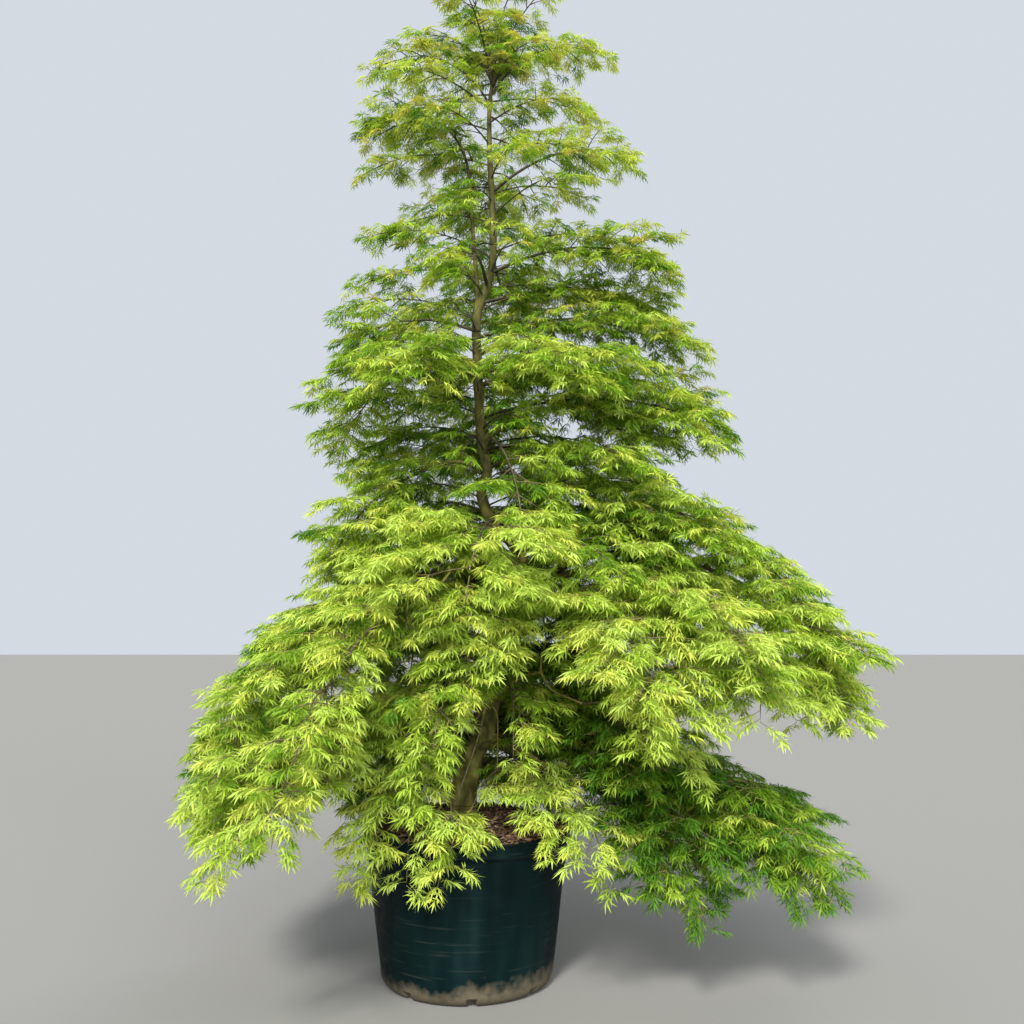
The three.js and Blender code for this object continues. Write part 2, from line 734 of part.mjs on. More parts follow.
const MATERIALS = {
  pot: new THREE.MeshStandardMaterial({ color: 0x14191b, roughness: 0.55, metalness: 0 }),
  compost: new THREE.MeshStandardMaterial({ color: 0x2e2018, roughness: 1, metalness: 0 }),
  mulch: new THREE.MeshStandardMaterial({ color: 0x5a3b26, roughness: 0.95, metalness: 0 }),
  bark: new THREE.MeshStandardMaterial({ color: 0x6a5c45, roughness: 0.9, metalness: 0 }),
  brightLeaf: new THREE.MeshStandardMaterial({ color: 0x9cc92a, roughness: 0.55, metalness: 0 }),
  shadeLeaf: new THREE.MeshStandardMaterial({ color: 0x4f8a1c, roughness: 0.55, metalness: 0 }),
  upperLeaf: new THREE.MeshStandardMaterial({ color: 0x7fa524, roughness: 0.55, metalness: 0 }),
};

function leafMaterial(name) {
  if (name.includes("tier") || name.includes("top")) return MATERIALS.upperLeaf;
  return name.includes("right_low") ? MATERIALS.shadeLeaf : MATERIALS.brightLeaf;
}

const tree = new THREE.Group();

function add(name, solid, material) {
  const mesh = new THREE.Mesh(geometryOf(solid), material);
  mesh.name = name;
  tree.add(mesh);
}

add("pot", makePot(), MATERIALS.pot);
add("compost", makeCompost(), MATERIALS.compost);
add("bark_mulch", makeMulch(), MATERIALS.mulch);
add("trunk", makeTrunk(0), MATERIALS.bark);

// Boughs stop at the trunk's surface, and foliage keeps clear of the limbs grown by a margin
const trunkGrown = makeTrunk(CLEARANCE);
const grown = [potSurround(), makeTrunk(SPRAY.limbMargin)];
const boughs = new Map();
for (const spec of BOUGHS) {
  const curve = boughCurve(spec);
  const radiusAt = (extra) => (share) => mix(spec.rootRadius, spec.tipRadius, share) + extra;
  boughs.set(spec.name, { curve, spec });
  grown.push(limb(curve, radiusAt(SPRAY.limbMargin), 6, 8));
  add(spec.name, mainBody(limb(curve, radiusAt(0), 5, 5).subtract(trunkGrown)), MATERIALS.bark);
}
const limbsGrown = wasm.Manifold.union(grown);

// Each stem's points share out the space among the masses
const stems = new Map(MASSES.map((mass) => [mass.name, stemOf(mass, boughs)]));
const SITES_PER_STEM = 7;
const sites = [];
for (const [name, { line }] of stems) {
  for (let i = 1; i <= SITES_PER_STEM; i += 1) {
    sites.push({ name, at: line.getPointAt(i / SITES_PER_STEM) });
  }
}
MASSES.forEach((mass, i) => {
  const solid = growMass(mass, stems.get(mass.name), sites, limbsGrown, trunkGrown, 101 + i);
  add(mass.name, solid, leafMaterial(mass.name));
});

export default tree;
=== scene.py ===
"""The potted laceleaf maple: bark, twigs, leaves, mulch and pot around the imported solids."""

import math

import bpy
import numpy as np
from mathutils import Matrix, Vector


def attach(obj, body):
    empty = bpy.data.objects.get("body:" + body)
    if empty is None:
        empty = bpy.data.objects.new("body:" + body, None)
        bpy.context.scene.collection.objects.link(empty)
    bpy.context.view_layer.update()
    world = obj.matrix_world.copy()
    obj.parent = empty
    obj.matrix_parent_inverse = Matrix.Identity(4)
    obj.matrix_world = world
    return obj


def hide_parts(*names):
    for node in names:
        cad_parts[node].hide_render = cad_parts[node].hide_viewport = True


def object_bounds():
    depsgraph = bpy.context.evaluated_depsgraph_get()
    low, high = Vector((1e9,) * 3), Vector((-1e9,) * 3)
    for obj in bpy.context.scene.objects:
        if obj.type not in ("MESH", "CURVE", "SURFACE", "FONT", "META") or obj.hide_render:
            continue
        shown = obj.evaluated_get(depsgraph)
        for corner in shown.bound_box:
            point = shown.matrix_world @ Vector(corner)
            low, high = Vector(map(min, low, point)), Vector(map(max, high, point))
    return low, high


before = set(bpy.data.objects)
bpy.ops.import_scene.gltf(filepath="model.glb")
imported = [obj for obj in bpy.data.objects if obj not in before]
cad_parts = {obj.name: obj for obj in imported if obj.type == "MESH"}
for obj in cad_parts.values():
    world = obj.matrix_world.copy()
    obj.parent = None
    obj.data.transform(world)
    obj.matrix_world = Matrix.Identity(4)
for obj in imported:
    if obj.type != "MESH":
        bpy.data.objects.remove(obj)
solid_low, solid_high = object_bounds()

# Sizes in metres, as in the solids

POT_HEIGHT = 0.63
RIM_RADIUS = 0.442
BAND_HEIGHT = 0.056
BAND_STEP = 0.012
BASE_RADIUS = 0.362
FOOT_RADIUS = 0.318
FOOT_ROUND = 0.046
POT_WALL = 0.007
DRAINS = 8
DRAIN_RADIUS = 0.019
DRAIN_TOP = 0.034
MULCH_CROWN = 0.686
MULCH_SHOULDER = 0.195
MULCH_EDGE = 0.616

# The trunk and leader: x, y, z and radius in mm
TRUNK_STATIONS = [
    (-26, 0, 655, 98),
    (-24, 0, 688, 76),
    (-20, 0, 755, 61),
    (13, 0, 900, 51),
    (72, 5, 1020, 45),
    (104, 15, 1150, 40),
    (158, 30, 1310, 36),
    (222, 45, 1500, 32),
    (256, 50, 1690, 29),
    (196, 40, 1830, 26),
    (98, 25, 1935, 25),
    (55, 10, 2055, 24),
    (78, 5, 2150, 23),
    (52, 0, 2330, 22),
    (36, 0, 2620, 21),
    (33, 0, 2860, 20),
    (92, 0, 3050, 18),
    (105, 0, 3230, 16),
    (86, 0, 3680, 12),
    (90, 0, 3900, 9),
    (112, 0, 4000, 7),
]

# Boughs: height, heading, reach, arch, rise, root radius, tip radius (mm and degrees)
BOUGHS = {
    "bough_right_high": (1620, -4, 420, 50, 170, 24, 13),
    "bough_right_front": (1555, -38, 400, 50, 150, 21, 12),
    "bough_front_right": (1490, -62, 330, 45, 150, 18, 11),
    "bough_front_left": (1700, -139, 400, 50, 80, 18, 11),
    "bough_left_front": (1420, -160, 450, 60, 180, 22, 13),
    "bough_left_back": (1540, 167, 450, 60, 160, 21, 13),
    "bough_back_left": (1660, 125, 420, 55, 100, 19, 12),
    "bough_back": (1510, 82, 400, 55, 180, 18, 12),
    "bough_back_right": (1700, 38, 420, 50, 110, 19, 12),
    "bough_right_low": (1010, -9, 700, -40, -270, 21, 12),
    "bough_front_right_low": (940, -44, 380, 50, -20, 15, 9),
    "bough_front_left_low": (1080, -122, 340, 80, -10, 16, 9),
    "bough_front_hanging": (1320, -104, 360, 90, -200, 9, 6),
    "bough_leader_fork": (2890, 182, 42, 0, 590, 11, 8),
    "bough_tier_1_left": (2150, 183, 220, 30, 30, 11, 8),
    "bough_tier_1_right": (2290, -5, 240, 45, 30, 12, 8),
    "bough_tier_1_front": (2230, -75, 200, 30, 30, 10, 7),
    "bough_tier_2_left": (2640, 186, 180, 20, 10, 10, 7),
    "bough_tier_2_right": (2680, 3, 200, 30, 20, 10, 7),
}

# The stub of a lost limb on the trunk's left
KNOT_HEIGHT = 1.0
KNOT_REACH = (-0.050, -0.040, 0.018)
KNOT_RADIUS = 0.016

# Slender pale limbs that show in front of the trunk: x, y, z and radius in mm
FRONT_LIMBS = {
    "limb_arching": [
        (64, 0, 1000, 14), (30, -60, 1015, 11), (18, -100, 1050, 10),
        (60, -150, 1118, 9), (127, -200, 1190, 9), (194, -250, 1247, 8),
        (257, -300, 1277, 7), (305, -350, 1290, 7),
    ],
    "limb_rising": [
        (305, -350, 1290, 6), (309, -362, 1350, 5), (330, -380, 1430, 4),
    ],
    "limb_falling": [
        (305, -350, 1290, 6), (345, -375, 1225, 5), (420, -400, 1190, 4),
        (520, -430, 1150, 3.5), (640, -450, 1090, 3),
    ],
    "limb_left": [
        (-47, -212, 1780, 8), (-150, -420, 1700, 7), (-290, -600, 1510, 6),
        (-372, -680, 1430, 5.5), (-469, -750, 1269, 5), (-530, -780, 1170, 4.5),
        (-558, -800, 1082, 4), (-585, -830, 980, 3), (-616, -850, 886, 2),
    ],
    "twig_pale": [
        (-47, -212, 1780, 7), (-20, -400, 1760, 6), (-40, -520, 1700, 5.5),
        (-73, -600, 1646, 5), (-160, -620, 1540, 4), (-218, -600, 1439, 3),
    ],
    "twig_pale_fork": [
        (-40, -520, 1700, 5), (-120, -590, 1660, 4), (-183, -610, 1580, 4),
        (-225, -600, 1457, 3),
    ],
    "twig_hanging": [
        (95, -225, 1150, 4), (128, -270, 1120, 3), (132, -280, 1000, 2.5),
        (130, -280, 890, 2),
    ],
}

# The slender limbs that leaves cover here and there, and those with the twigs' darker bark
HALF_HIDDEN = ("limb_left", "twig_pale", "twig_pale_fork")
DARK_LIMBS = ("limb_left",)

# Foliage on a bough's tip: bough, turn, droop, length, half width, and its look
ON_BOUGHS = {
    "foliage_right_shoulder": ("bough_right_high", -4, 66, 1060, 560, "sunny"),
    "foliage_right_front": ("bough_right_front", 5, 62, 900, 540, "sunny"),
    "foliage_front_right": ("bough_front_right", 8, 60, 850, 500, "sunlit"),
    "foliage_front_left": ("bough_front_left", -6, 60, 860, 540, "sunlit"),
    "foliage_left_front": ("bough_left_front", 4, 102, 1230, 540, "fresh"),
    "foliage_left_back": ("bough_left_back", 6, 98, 1270, 560, "fresh"),
    "foliage_back_left": ("bough_back_left", 0, 80, 1040, 540, "fresh"),
    "foliage_back": ("bough_back", 0, 72, 1080, 580, "fresh"),
    "foliage_back_right": ("bough_back_right", -4, 70, 1080, 580, "fresh"),
    "foliage_right_low": ("bough_right_low", 4, 12, 560, 600, "shaded"),
    "foliage_front_right_low": ("bough_front_right_low", 2, 34, 440, 420, "hanging"),
    "foliage_front_left_low": ("bough_front_left_low", 8, 46, 520, 440, "hanging"),
    "foliage_front_hanging": ("bough_front_hanging", -62, 16, 430, 320, "hanging"),
    "foliage_tier_1_left": ("bough_tier_1_left", 2, 44, 560, 460, "fresh"),
    "foliage_tier_1_right": ("bough_tier_1_right", -2, 50, 880, 480, "fresh"),
    "foliage_tier_1_front": ("bough_tier_1_front", 4, 50, 540, 440, "fresh"),
    "foliage_tier_2_left": ("bough_tier_2_left", -6, 44, 500, 400, "upper"),
    "foliage_tier_2_right": ("bough_tier_2_right", 4, 46, 780, 420, "upper"),
    "foliage_tier_4_left": ("bough_leader_fork", 0, 108, 560, 340, "upper"),
}

# Foliage on the trunk: height, heading, pitch, turn, droop, length, half width, and its look
ON_TRUNK = {
    "foliage_dome_left": (1880, 196, 22, -4, 70, 640, 460, "sunny"),
    "foliage_dome_right": (1800, -18, 34, 4, 66, 900, 500, "fresh"),
    "foliage_dome_front": (1790, -104, 26, 4, 84, 980, 520, "sunlit"),
    "foliage_tier_1_back_right": (2250, 58, 16, 0, 56, 800, 460, "fresh"),
    "foliage_tier_1_back_left": (2300, 124, 16, 0, 56, 780, 460, "fresh"),
    "foliage_tier_2_front_left": (2580, -118, 18, 0, 56, 640, 400, "fresh"),
    "foliage_tier_2_front_right": (2560, -52, 18, 0, 56, 720, 400, "fresh"),
    "foliage_tier_2_back": (2620, 92, 18, 0, 56, 680, 420, "upper"),
    "foliage_tier_3_left": (2790, 196, 16, -6, 50, 500, 360, "upper"),
    "foliage_tier_3_right": (3060, -14, 22, 0, 54, 740, 380, "upper"),
    "foliage_tier_3_front": (3000, -96, 16, 0, 54, 520, 360, "upper"),
    "foliage_tier_3_back": (3080, 84, 18, 0, 54, 540, 360, "upper"),
    "foliage_tier_4_right": (3440, -22, 34, 0, 60, 580, 340, "top"),
    "foliage_tier_4_back": (3480, 98, 30, 0, 58, 480, 320, "top"),
    "foliage_top_left": (3860, 186, 60, 0, 84, 510, 290, "top"),
    "foliage_top_right": (3900, -8, 58, 0, 80, 510, 290, "top"),
    "foliage_top": (3950, 120, 86, 0, 46, 460, 300, "top"),
}

# Smaller shoots between the masses, from the inside of the skirt to the leader's tip, in the same columns
SHOOTS = [
    (2400, -8, 14, 0, 40, 1000, 380, "fresh"),
    (2540, 4, 14, 0, 40, 960, 380, "upper"),
    (2760, -8, 16, 0, 42, 900, 360, "upper"),
    (2920, 6, 18, 0, 44, 800, 340, "upper"),
    (1180, 196, 6, 0, 62, 1060, 420, "fresh"),
    (1240, 214, 4, 0, 64, 960, 420, "sunny"),
    (1060, 203, 12, 0, 60, 1180, 360, "sunny"),
    (1100, 188, 14, 0, 62, 1160, 360, "fresh"),
    (1700, 238, 26, 0, 84, 860, 380, "sunlit"),
    (1600, 222, 26, 0, 80, 900, 400, "sunlit"),
    (1560, 254, 22, 0, 84, 820, 380, "sunlit"),
    (1940, 72, 26, 0, 50, 600, 340, "fresh"),
    (1960, 130, 24, 0, 50, 600, 340, "fresh"),
    (1880, 24, 30, 0, 56, 640, 340, "fresh"),
    (1300, 52, 20, 0, 50, 640, 380, "shaded"),
    (980, 76, 2, 0, 56, 620, 340, "shaded"),
    (1000, 120, 0, 0, 60, 600, 340, "shaded"),
    (900, 58, -8, 0, 34, 560, 340, "shaded"),
    (880, 128, -8, 0, 34, 560, 340, "shaded"),
    (1790, -4, 24, 0, 116, 1750, 290, "fresh"),
    (1800, 2, 24, 0, 118, 1860, 270, "fresh"),
    (1220, 98, 6, 0, 66, 900, 400, "fresh"),
    (1180, 66, 4, 0, 62, 860, 400, "fresh"),
    (1200, 136, 4, 0, 64, 880, 400, "fresh"),
    (1360, 20, 10, 0, 50, 620, 360, "shaded"),
    (1120, 176, 2, 0, 56, 800, 420, "fresh"),
    (1290, 232, 2, 0, 70, 760, 400, "sunny"),
    (1060, 205, -6, 0, 40, 560, 360, "shaded"),
    (1120, 24, 12, 0, 60, 760, 400, "fresh"),
    (1060, 52, 6, 0, 56, 700, 400, "shaded"),
    (1180, -30, 10, 0, 66, 760, 420, "fresh"),
    (1000, 34, 4, 0, 44, 620, 380, "shaded"),
    (960, 8, 20, 0, 60, 700, 380, "fresh"),
    (3930, 40, 64, 0, 50, 460, 240, "top"),
    (3950, 250, 62, 0, 54, 440, 240, "top"),
    (3960, 150, 66, 0, 46, 470, 240, "top"),
    (3980, 330, 72, 0, 44, 460, 220, "top"),
    (3985, 90, 80, 0, 30, 450, 200, "top"),
    (3990, 215, 80, 0, 30, 440, 200, "top"),
    (3995, 20, 88, 0, 20, 460, 180, "top"),
]

# The leaves' colours: their surface, the light they let through and how much of it, and their slot
LEAF_COLOURS = {
    "lime": ((0.42, 0.54, 0.10), (0.56, 0.73, 0.07), 0.4, "bright_leaf"),
    "yellow": ((0.46, 0.53, 0.09), (0.61, 0.70, 0.06), 0.4, "bright_leaf"),
    "fresh": ((0.33, 0.46, 0.055), (0.43, 0.61, 0.035), 0.4, "bright_leaf"),
    "mid": ((0.16, 0.275, 0.020), (0.22, 0.40, 0.013), 0.4, "shade_leaf"),
    "deep": ((0.068, 0.165, 0.011), (0.095, 0.26, 0.008), 0.3, "shade_leaf"),
    "olive": ((0.33, 0.38, 0.06), (0.47, 0.55, 0.04), 0.4, "upper_leaf"),
    "bronze": ((0.39, 0.38, 0.07), (0.54, 0.52, 0.05), 0.4, "upper_leaf"),
}

# The looks of foliage: how its sprays are dealt out to the leaf colours, how far apart its twigs stand,
# how fast its stems thin out, how close its sprigs stand, and how long its leaves are in metres
# Painted light and shade: the sunlit and sunny looks deal out mostly lime and yellow leaves where sun falls,
# the shaded look mostly mid and deep greens where shade falls
SHARES, SPACING, THINNING, CLOSENESS, LEAF_LENGTH = range(5)
LOOKS = {
    "sunlit": ((0.46, 0.34, 0.18, 0.02, 0, 0, 0), 1.0, 0.85, 1.0, 0.060),
    "sunny": ((0.34, 0.24, 0.30, 0.12, 0, 0, 0), 1.0, 0.85, 1.0, 0.060),
    "fresh": ((0.09, 0.15, 0.34, 0.32, 0.08, 0.02, 0), 1.0, 0.85, 0.9, 0.056),
    "hanging": ((0.38, 0.32, 0.30, 0, 0, 0, 0), 1.8, 0.4, 0.6, 0.064),
    "shaded": ((0, 0, 0.10, 0.38, 0.52, 0, 0), 1.0, 0.85, 0.9, 0.058),
    "upper": ((0.03, 0.12, 0.27, 0.32, 0.05, 0.19, 0.02), 1.0, 0.85, 1.0, 0.050),
    "top": ((0.03, 0.15, 0.16, 0.14, 0, 0.38, 0.14), 1.0, 0.85, 0.95, 0.048),
}

# How far the leader's own small sprays reach, in metres: height, to the left and to the right
LEADER_REACH = [
    (1.95, 0.55, 0.90),
    (2.12, 0.62, 1.10),
    (2.48, 0.74, 1.04),
    (2.75, 0.66, 0.98),
    (2.94, 0.63, 0.90),
    (3.17, 0.56, 0.70),
    (3.40, 0.50, 0.50),
    (3.57, 0.62, 0.50),
    (3.89, 0.58, 0.52),
    (4.05, 0.40, 0.40),
]

# The leader's sprays: their number, the lowest and highest, and the range of their pitch, droop and reach
LEADER_SPRAYS = (58, 1.98, 3.96)
LEADER_PITCH = (12, 30)
LEADER_DROOP = (34, 52)
LEADER_FILL = (0.78, 1.0)
LEADER_INSET = 0.08
LEADER_SHORTEST = 0.2
LEADER_WIDTH = 0.25
LEADER_SPACING = 1.25
GOLDEN_TURN = 137.5
SPRAY_TURN = (-16, 16)

# The look of the leader's sprays changes at these heights; they reach less far in depth, least to the front
UPPER_FROM = 2.6
TOP_FROM = 3.4
LEADER_DEPTH = 0.92
TO_THE_FRONT = -0.72
FRONT_REACH = 0.55

# The thin sprays under the dome, in the same way
SKIRT_SPRAYS = (22, 1.12, 1.86)
SKIRT_PITCH = (8, 30)
SKIRT_DROOP = (50, 76)
SKIRT_LENGTH = (0.55, 1.0)
SKIRT_WIDTH = 0.34
SKIRT_SPACING = 1.3

# Smaller sprays along the boughs: share of the bough's length, turn, pitch, droop, length, half width, look
SIDE_SPACING = 1.1
SIDE_SPRAYS = {
    "limb_rising": [(1.0, 20, 20, 70, 300, 260, "sunny")],
    "limb_falling": [
        (0.55, -30, 10, 50, 260, 240, "sunny"), (1.0, 0, -10, 40, 240, 240, "sunny"),
    ],
    "twig_hanging": [
        (1.0, -60, -10, 30, 150, 220, "sunny"), (0.96, 110, -5, 30, 120, 200, "sunny"),
    ],
    "bough_front_left_low": [
        (0.96, 40, -30, 40, 500, 280, "hanging"), (0.98, -24, -38, 34, 580, 260, "hanging"),
    ],
    "bough_front_right_low": [(0.80, -26, -20, 40, 380, 260, "hanging")],
    "limb_left": [
        (1.0, 0, -20, 30, 240, 240, "sunny"), (0.92, 44, -6, 40, 300, 240, "sunny"),
        (0.84, -40, -4, 44, 320, 240, "sunny"), (0.70, 40, 4, 50, 320, 240, "sunny"),
        (0.55, -44, 6, 50, 320, 240, "sunny"),
    ],
    "bough_right_low": [
        (0.30, 24, 18, 40, 520, 330, "shaded"), (0.45, -30, 26, 46, 560, 340, "shaded"),
        (0.58, 20, 24, 50, 620, 340, "shaded"), (0.72, -14, 22, 48, 640, 340, "shaded"),
        (0.80, -42, 6, 40, 520, 320, "shaded"), (0.92, 10, 22, 44, 600, 340, "shaded"),
        (0.96, -26, -4, 30, 520, 320, "shaded"), (0.12, 50, 30, 50, 620, 380, "fresh"),
        (0.20, 30, 44, 60, 640, 380, "fresh"), (0.10, 86, 20, 44, 560, 380, "fresh"),
        (0.50, -30, -10, 46, 440, 320, "shaded"), (0.66, -44, -14, 50, 460, 320, "shaded"),
        (0.84, -34, -20, 44, 460, 320, "shaded"), (0.98, -50, -24, 40, 440, 320, "shaded"),
        (0.98, 4, 16, 44, 570, 360, "shaded"), (0.90, 22, 18, 46, 600, 360, "shaded"),
        (0.98, -16, 8, 46, 620, 340, "fresh"),
    ],
}

# Stretches of the trunk that show in the photo, in metres: from, to, and how far to the left and right
BARE_STRETCHES = [
    (0.70, 1.14, 0.08, 0.07),
    (1.765, 1.865, 0.055, 0.05),
    (1.905, 2.06, 0.05, 0.06),
    (2.12, 2.30, 0.05, 0.045),
    (2.36, 2.60, 0.05, 0.045),
    (2.66, 2.88, 0.05, 0.045),
    (2.92, 3.22, 0.10, 0.05),
    (3.35, 3.48, 0.045, 0.04),
    (3.72, 3.80, 0.04, 0.04),
    (3.92, 4.02, 0.05, 0.05),
]

# Openings in the crown as the photo shows them: middle x and z, half width, half height, share of shoots kept
OPENINGS = [
    (1.245, 1.00, 0.17, 0.15, 0.15),
    (0.28, 3.53, 0.12, 0.10, 0.2),
    (-0.34, 3.42, 0.16, 0.08, 0.3),
    (-0.93, 1.80, 0.28, 0.20, 0.1),
    (-1.13, 1.44, 0.24, 0.21, 0.1),
    (-1.33, 1.12, 0.23, 0.20, 0.1),
]

# Heights between which the bark darkens from the trunk's colour to the leader's, painted shade of the crown
# on the leader
BARK_SHADE_HEIGHTS = (1.5, 2.3)

# Relief of the bark: length of a cell, cells round the limb or 0 for its own ridges, and weight
BARK_RELIEF = [(0.05, 0, 1), (0.11, 4, 0.6), (0.012, 3, 0.35)]
BOUGH_COLLAR = 0.5
COLLAR_REACH = 0.02

# Growth: fine steps in a line's step, how a line droops, its steepest pitches, the play in a shoot's place
FINE_STEPS = 4
DROOP_POWER = 1.4
LOWEST = math.radians(-86)
HIGHEST = math.radians(88)
PLACE_CHANCE = 0.35

# Stems: steps, root radii on the trunk, a bough and the leader, tip radius, and the share that is bare
STEM_STEPS = 12
TRUNK_STEM = 0.009
BOUGH_STEM = 0.006
LEADER_STEM = 0.0045
STEM_TIP = 0.0022
BARE_STEM = 0.10

# Twigs: spacing, angle at the stem's foot and end, droop, lift, share of the pitch kept, shape of the mass,
# how far leaves reach past them, the stem's own tip, root radius, taper, and the share that is bare
TWIG_STEP = 0.066
TWIG_ANGLE = (70, 44)
TWIG_DROOP = 24
TWIG_LIFT = 15
TWIG_LEVEL = 0.6
NARROW_FOOT = 0.55
BLUNT_END = (0.86, 0.8)
LEAF_REACH = 0.10
TIP_REACH = 0.16
TIP_DROOP = 18
TWIG_ROOT = 0.0030
TWIG_TAPER = 0.0018
BARE_TWIG = 0.2

# Sprigs: spacing, angle, droop, share of the pitch kept, lengths in metres, and radii
SPRIG_STEP = 0.054
SPRIG_ANGLE = 52
SPRIG_DROOP = 24
SPRIG_LEVEL = 0.45
SHORTEST_SPRIG = 0.055
LONGEST_SPRIG = 0.17
STRAIGHT_SPRIG = 0.10
SPRIG_RADII = [0.0014, 0.0011, 0.0008]

# Leaves: spacing, splay, tip, share of the pitch kept, where along a sprig the first pair stands, roll,
# and the most faces in one piece
LEAF_STEP = 0.030
LEAF_SPLAY = 48
LEAF_TIP = 12
LEAF_LEVEL = 0.5
FIRST_LEAF = 0.25
LEAF_ROLL = 24
FACES_PER_PIECE = 190000

# Above a height the heart of the crown is airy, a twig that keeps less than a share of its sprigs is dropped,
# and a few leaves stray before the bare stretches
AIRY_FROM = 2.0
AIRY_HEART = 0.6
LEAST_LEAFY = 0.4
STRAY_LEAVES = 0.05

# How far foliage keeps off the floor, the rim, the pot's wall, the bark and the slender limbs, the space over
# the mulch as radius and height, and the height from which twigs may cross the leader's tip
FLOOR_GAP = 0.03
RIM_GAP = 0.02
WALL_GAP = 0.012
BARK_GAP = 0.004
MULCH_SPACE = (0.30, 0.72)
LEADER_TOP = 4.0
LIMB_GAP = 0.035
HALF_HIDDEN_GAP = 0.02

# Painted shade deep in the crown: colours, mostly mid and deep greens, dealt to sprigs near the trunk, how
# far from the trunk they reach, how strongly, and their shares; and how much of a sprig's luck with its
# colour is its twig's
PAINTED_SHADE_REACH = 0.5
PAINTED_SHADE_WEIGHT = 0.55
PAINTED_SHADE_SHARES = np.array([0.0, 0.05, 0.2, 0.4, 0.35, 0.0, 0.0])
TWIG_LUCK = 0.45

# Where the photo was taken from, in metres, and how far the camera looks up, in degrees
EYE = np.array([0.19, -4.5, 1.5])
LOOK_UP = 6

rng = np.random.default_rng(2026)


def chance(low, high, like):
    """One random number between two for each row of an array."""
    return rng.uniform(low, high, len(like))


def turned(heading, pitch):
    """Unit vectors from headings and pitches in radians."""
    level = np.cos(pitch)
    return np.stack([level * np.cos(heading), level * np.sin(heading), np.sin(pitch)], -1)


def unit(v):
    return v / np.maximum(np.linalg.norm(v, axis=-1, keepdims=True), 1e-9)


def heading_of(way):
    return np.arctan2(way[..., 1], way[..., 0])


def pitch_of(way):
    return np.arctan2(way[..., 2], np.hypot(way[..., 0], way[..., 1]))


def across_of(way):
    return unit(np.stack([-way[..., 1], way[..., 0], np.zeros_like(way[..., 0])], -1))


def swung(way, angle):
    """Ways turned sideways by angles in degrees."""
    return way * np.cos(np.radians(angle))[:, None] + across_of(way) * np.sin(np.radians(angle))[:, None]


def tipped(way, angle):
    """Ways tipped down by angles in degrees."""
    return turned(heading_of(way), np.clip(pitch_of(way) - np.radians(angle), LOWEST, HIGHEST))


def levelled(way, share):
    """The same heading with only a share of the pitch, so that sprays lie in layers."""
    return turned(heading_of(way), pitch_of(way) * share)


def grow(start, way, turn, droop, length, steps):
    """Lines that set off along a way, turn about the upright and droop: (count, steps + 1, 3)."""
    fine = steps * FINE_STEPS
    share = (np.arange(fine) + 0.5) / fine
    turn, droop, length = (np.broadcast_to(one, len(start))[:, None] for one in (turn, droop, length))
    pitch = np.maximum(pitch_of(way)[:, None] - np.radians(droop) * share**DROOP_POWER, LOWEST)
    heading = heading_of(way)[:, None] + np.radians(turn) * share
    step = turned(heading, pitch) * (length / fine)[:, None]
    points = start[:, None, :] + np.cumsum(step, axis=1)
    return np.concatenate([start[:, None, :], points[:, FINE_STEPS - 1::FINE_STEPS, :]], axis=1)


def sample(lines, which, share):
    """Points and directions at a share of the length of the lines picked by which."""
    steps = lines.shape[1] - 1
    place = np.clip(np.broadcast_to(share, len(which)), 0, 1) * steps
    low = np.minimum(place.astype(int), steps - 1)
    part = (place - low)[:, None]
    a, b = lines[which, low], lines[which, low + 1]
    return a + (b - a) * part, unit(b - a)


def spread_out(pairs, looseness):
    """Where shoots stand in pairs along lines: the line, share of its length, side and number of the pair."""
    count = pairs * 2
    which = np.repeat(np.arange(len(count)), count)
    order = np.arange(len(which)) - (np.cumsum(count) - count)[which]
    pair = order // 2
    side = np.where(order % 2, -1.0, 1.0)
    share = (pair + 0.5 + looseness * chance(-PLACE_CHANCE, PLACE_CHANCE, which)) / pairs[which]
    return which, share, side, pair


def cut_back(lines, bearer, share, least):
    """Lines that end at the last shoot they bear, so that no bare end hangs free, and their shares."""
    ends = np.full(len(lines), least)
    np.maximum.at(ends, bearer, share)
    shares = np.linspace(0, 1, lines.shape[1])[None] * np.minimum(ends + 0.02, 1)[:, None]
    points, _ = sample(lines, np.repeat(np.arange(len(lines)), lines.shape[1]), shares.ravel())
    return points.reshape(lines.shape), shares


def smooth_path(stations, per_span):
    """A Catmull-Rom line in metres through rows of numbers in mm."""
    p = np.array(stations) / 1000
    p = np.vstack([2 * p[0] - p[1], p, 2 * p[-1] - p[-2]])
    t = np.linspace(0, 1, per_span, endpoint=False)[:, None]
    rows = []
    for i in range(1, len(p) - 2):
        a, b, c, d = p[i - 1], p[i], p[i + 1], p[i + 2]
        rows.append(
            0.5 * (2 * b + (c - a) * t + (2 * a - 5 * b + 4 * c - d) * t**2
                   + (3 * b - a - 3 * c + d) * t**3)
        )
    return np.vstack(rows + [p[-2:-1]])


def along(line):
    """How far along a line each of its points lies."""
    return np.concatenate([[0], np.cumsum(np.linalg.norm(np.diff(line[:, :3], axis=0), axis=1))])


def evenly(line, spacing):
    """The same line with its rows spaced evenly."""
    length = along(line)
    at = np.linspace(0, length[-1], max(int(length[-1] / spacing), 2) + 1)
    return np.stack([np.interp(at, length, line[:, k]) for k in range(line.shape[1])], -1)


TRUNK = evenly(smooth_path(TRUNK_STATIONS, 12), 0.006)


def trunk_at(z):
    return np.array([np.interp(z, TRUNK[:, 2], TRUNK[:, k]) for k in range(3)])


def trunk_radius(z):
    return np.interp(z, TRUNK[:, 2], TRUNK[:, 3])


def off_trunk(points):
    """How far points lie from the middle of the trunk, on the level."""
    middle = np.stack([np.interp(points[..., 2], TRUNK[:, 2], TRUNK[:, k]) for k in range(2)], -1)
    return np.hypot(points[..., 0] - middle[..., 0], points[..., 1] - middle[..., 1])


# Meshes

def put(name, data):
    """A new object in the scene."""
    one = bpy.data.objects.new(name, data)
    bpy.context.scene.collection.objects.link(one)
    return one


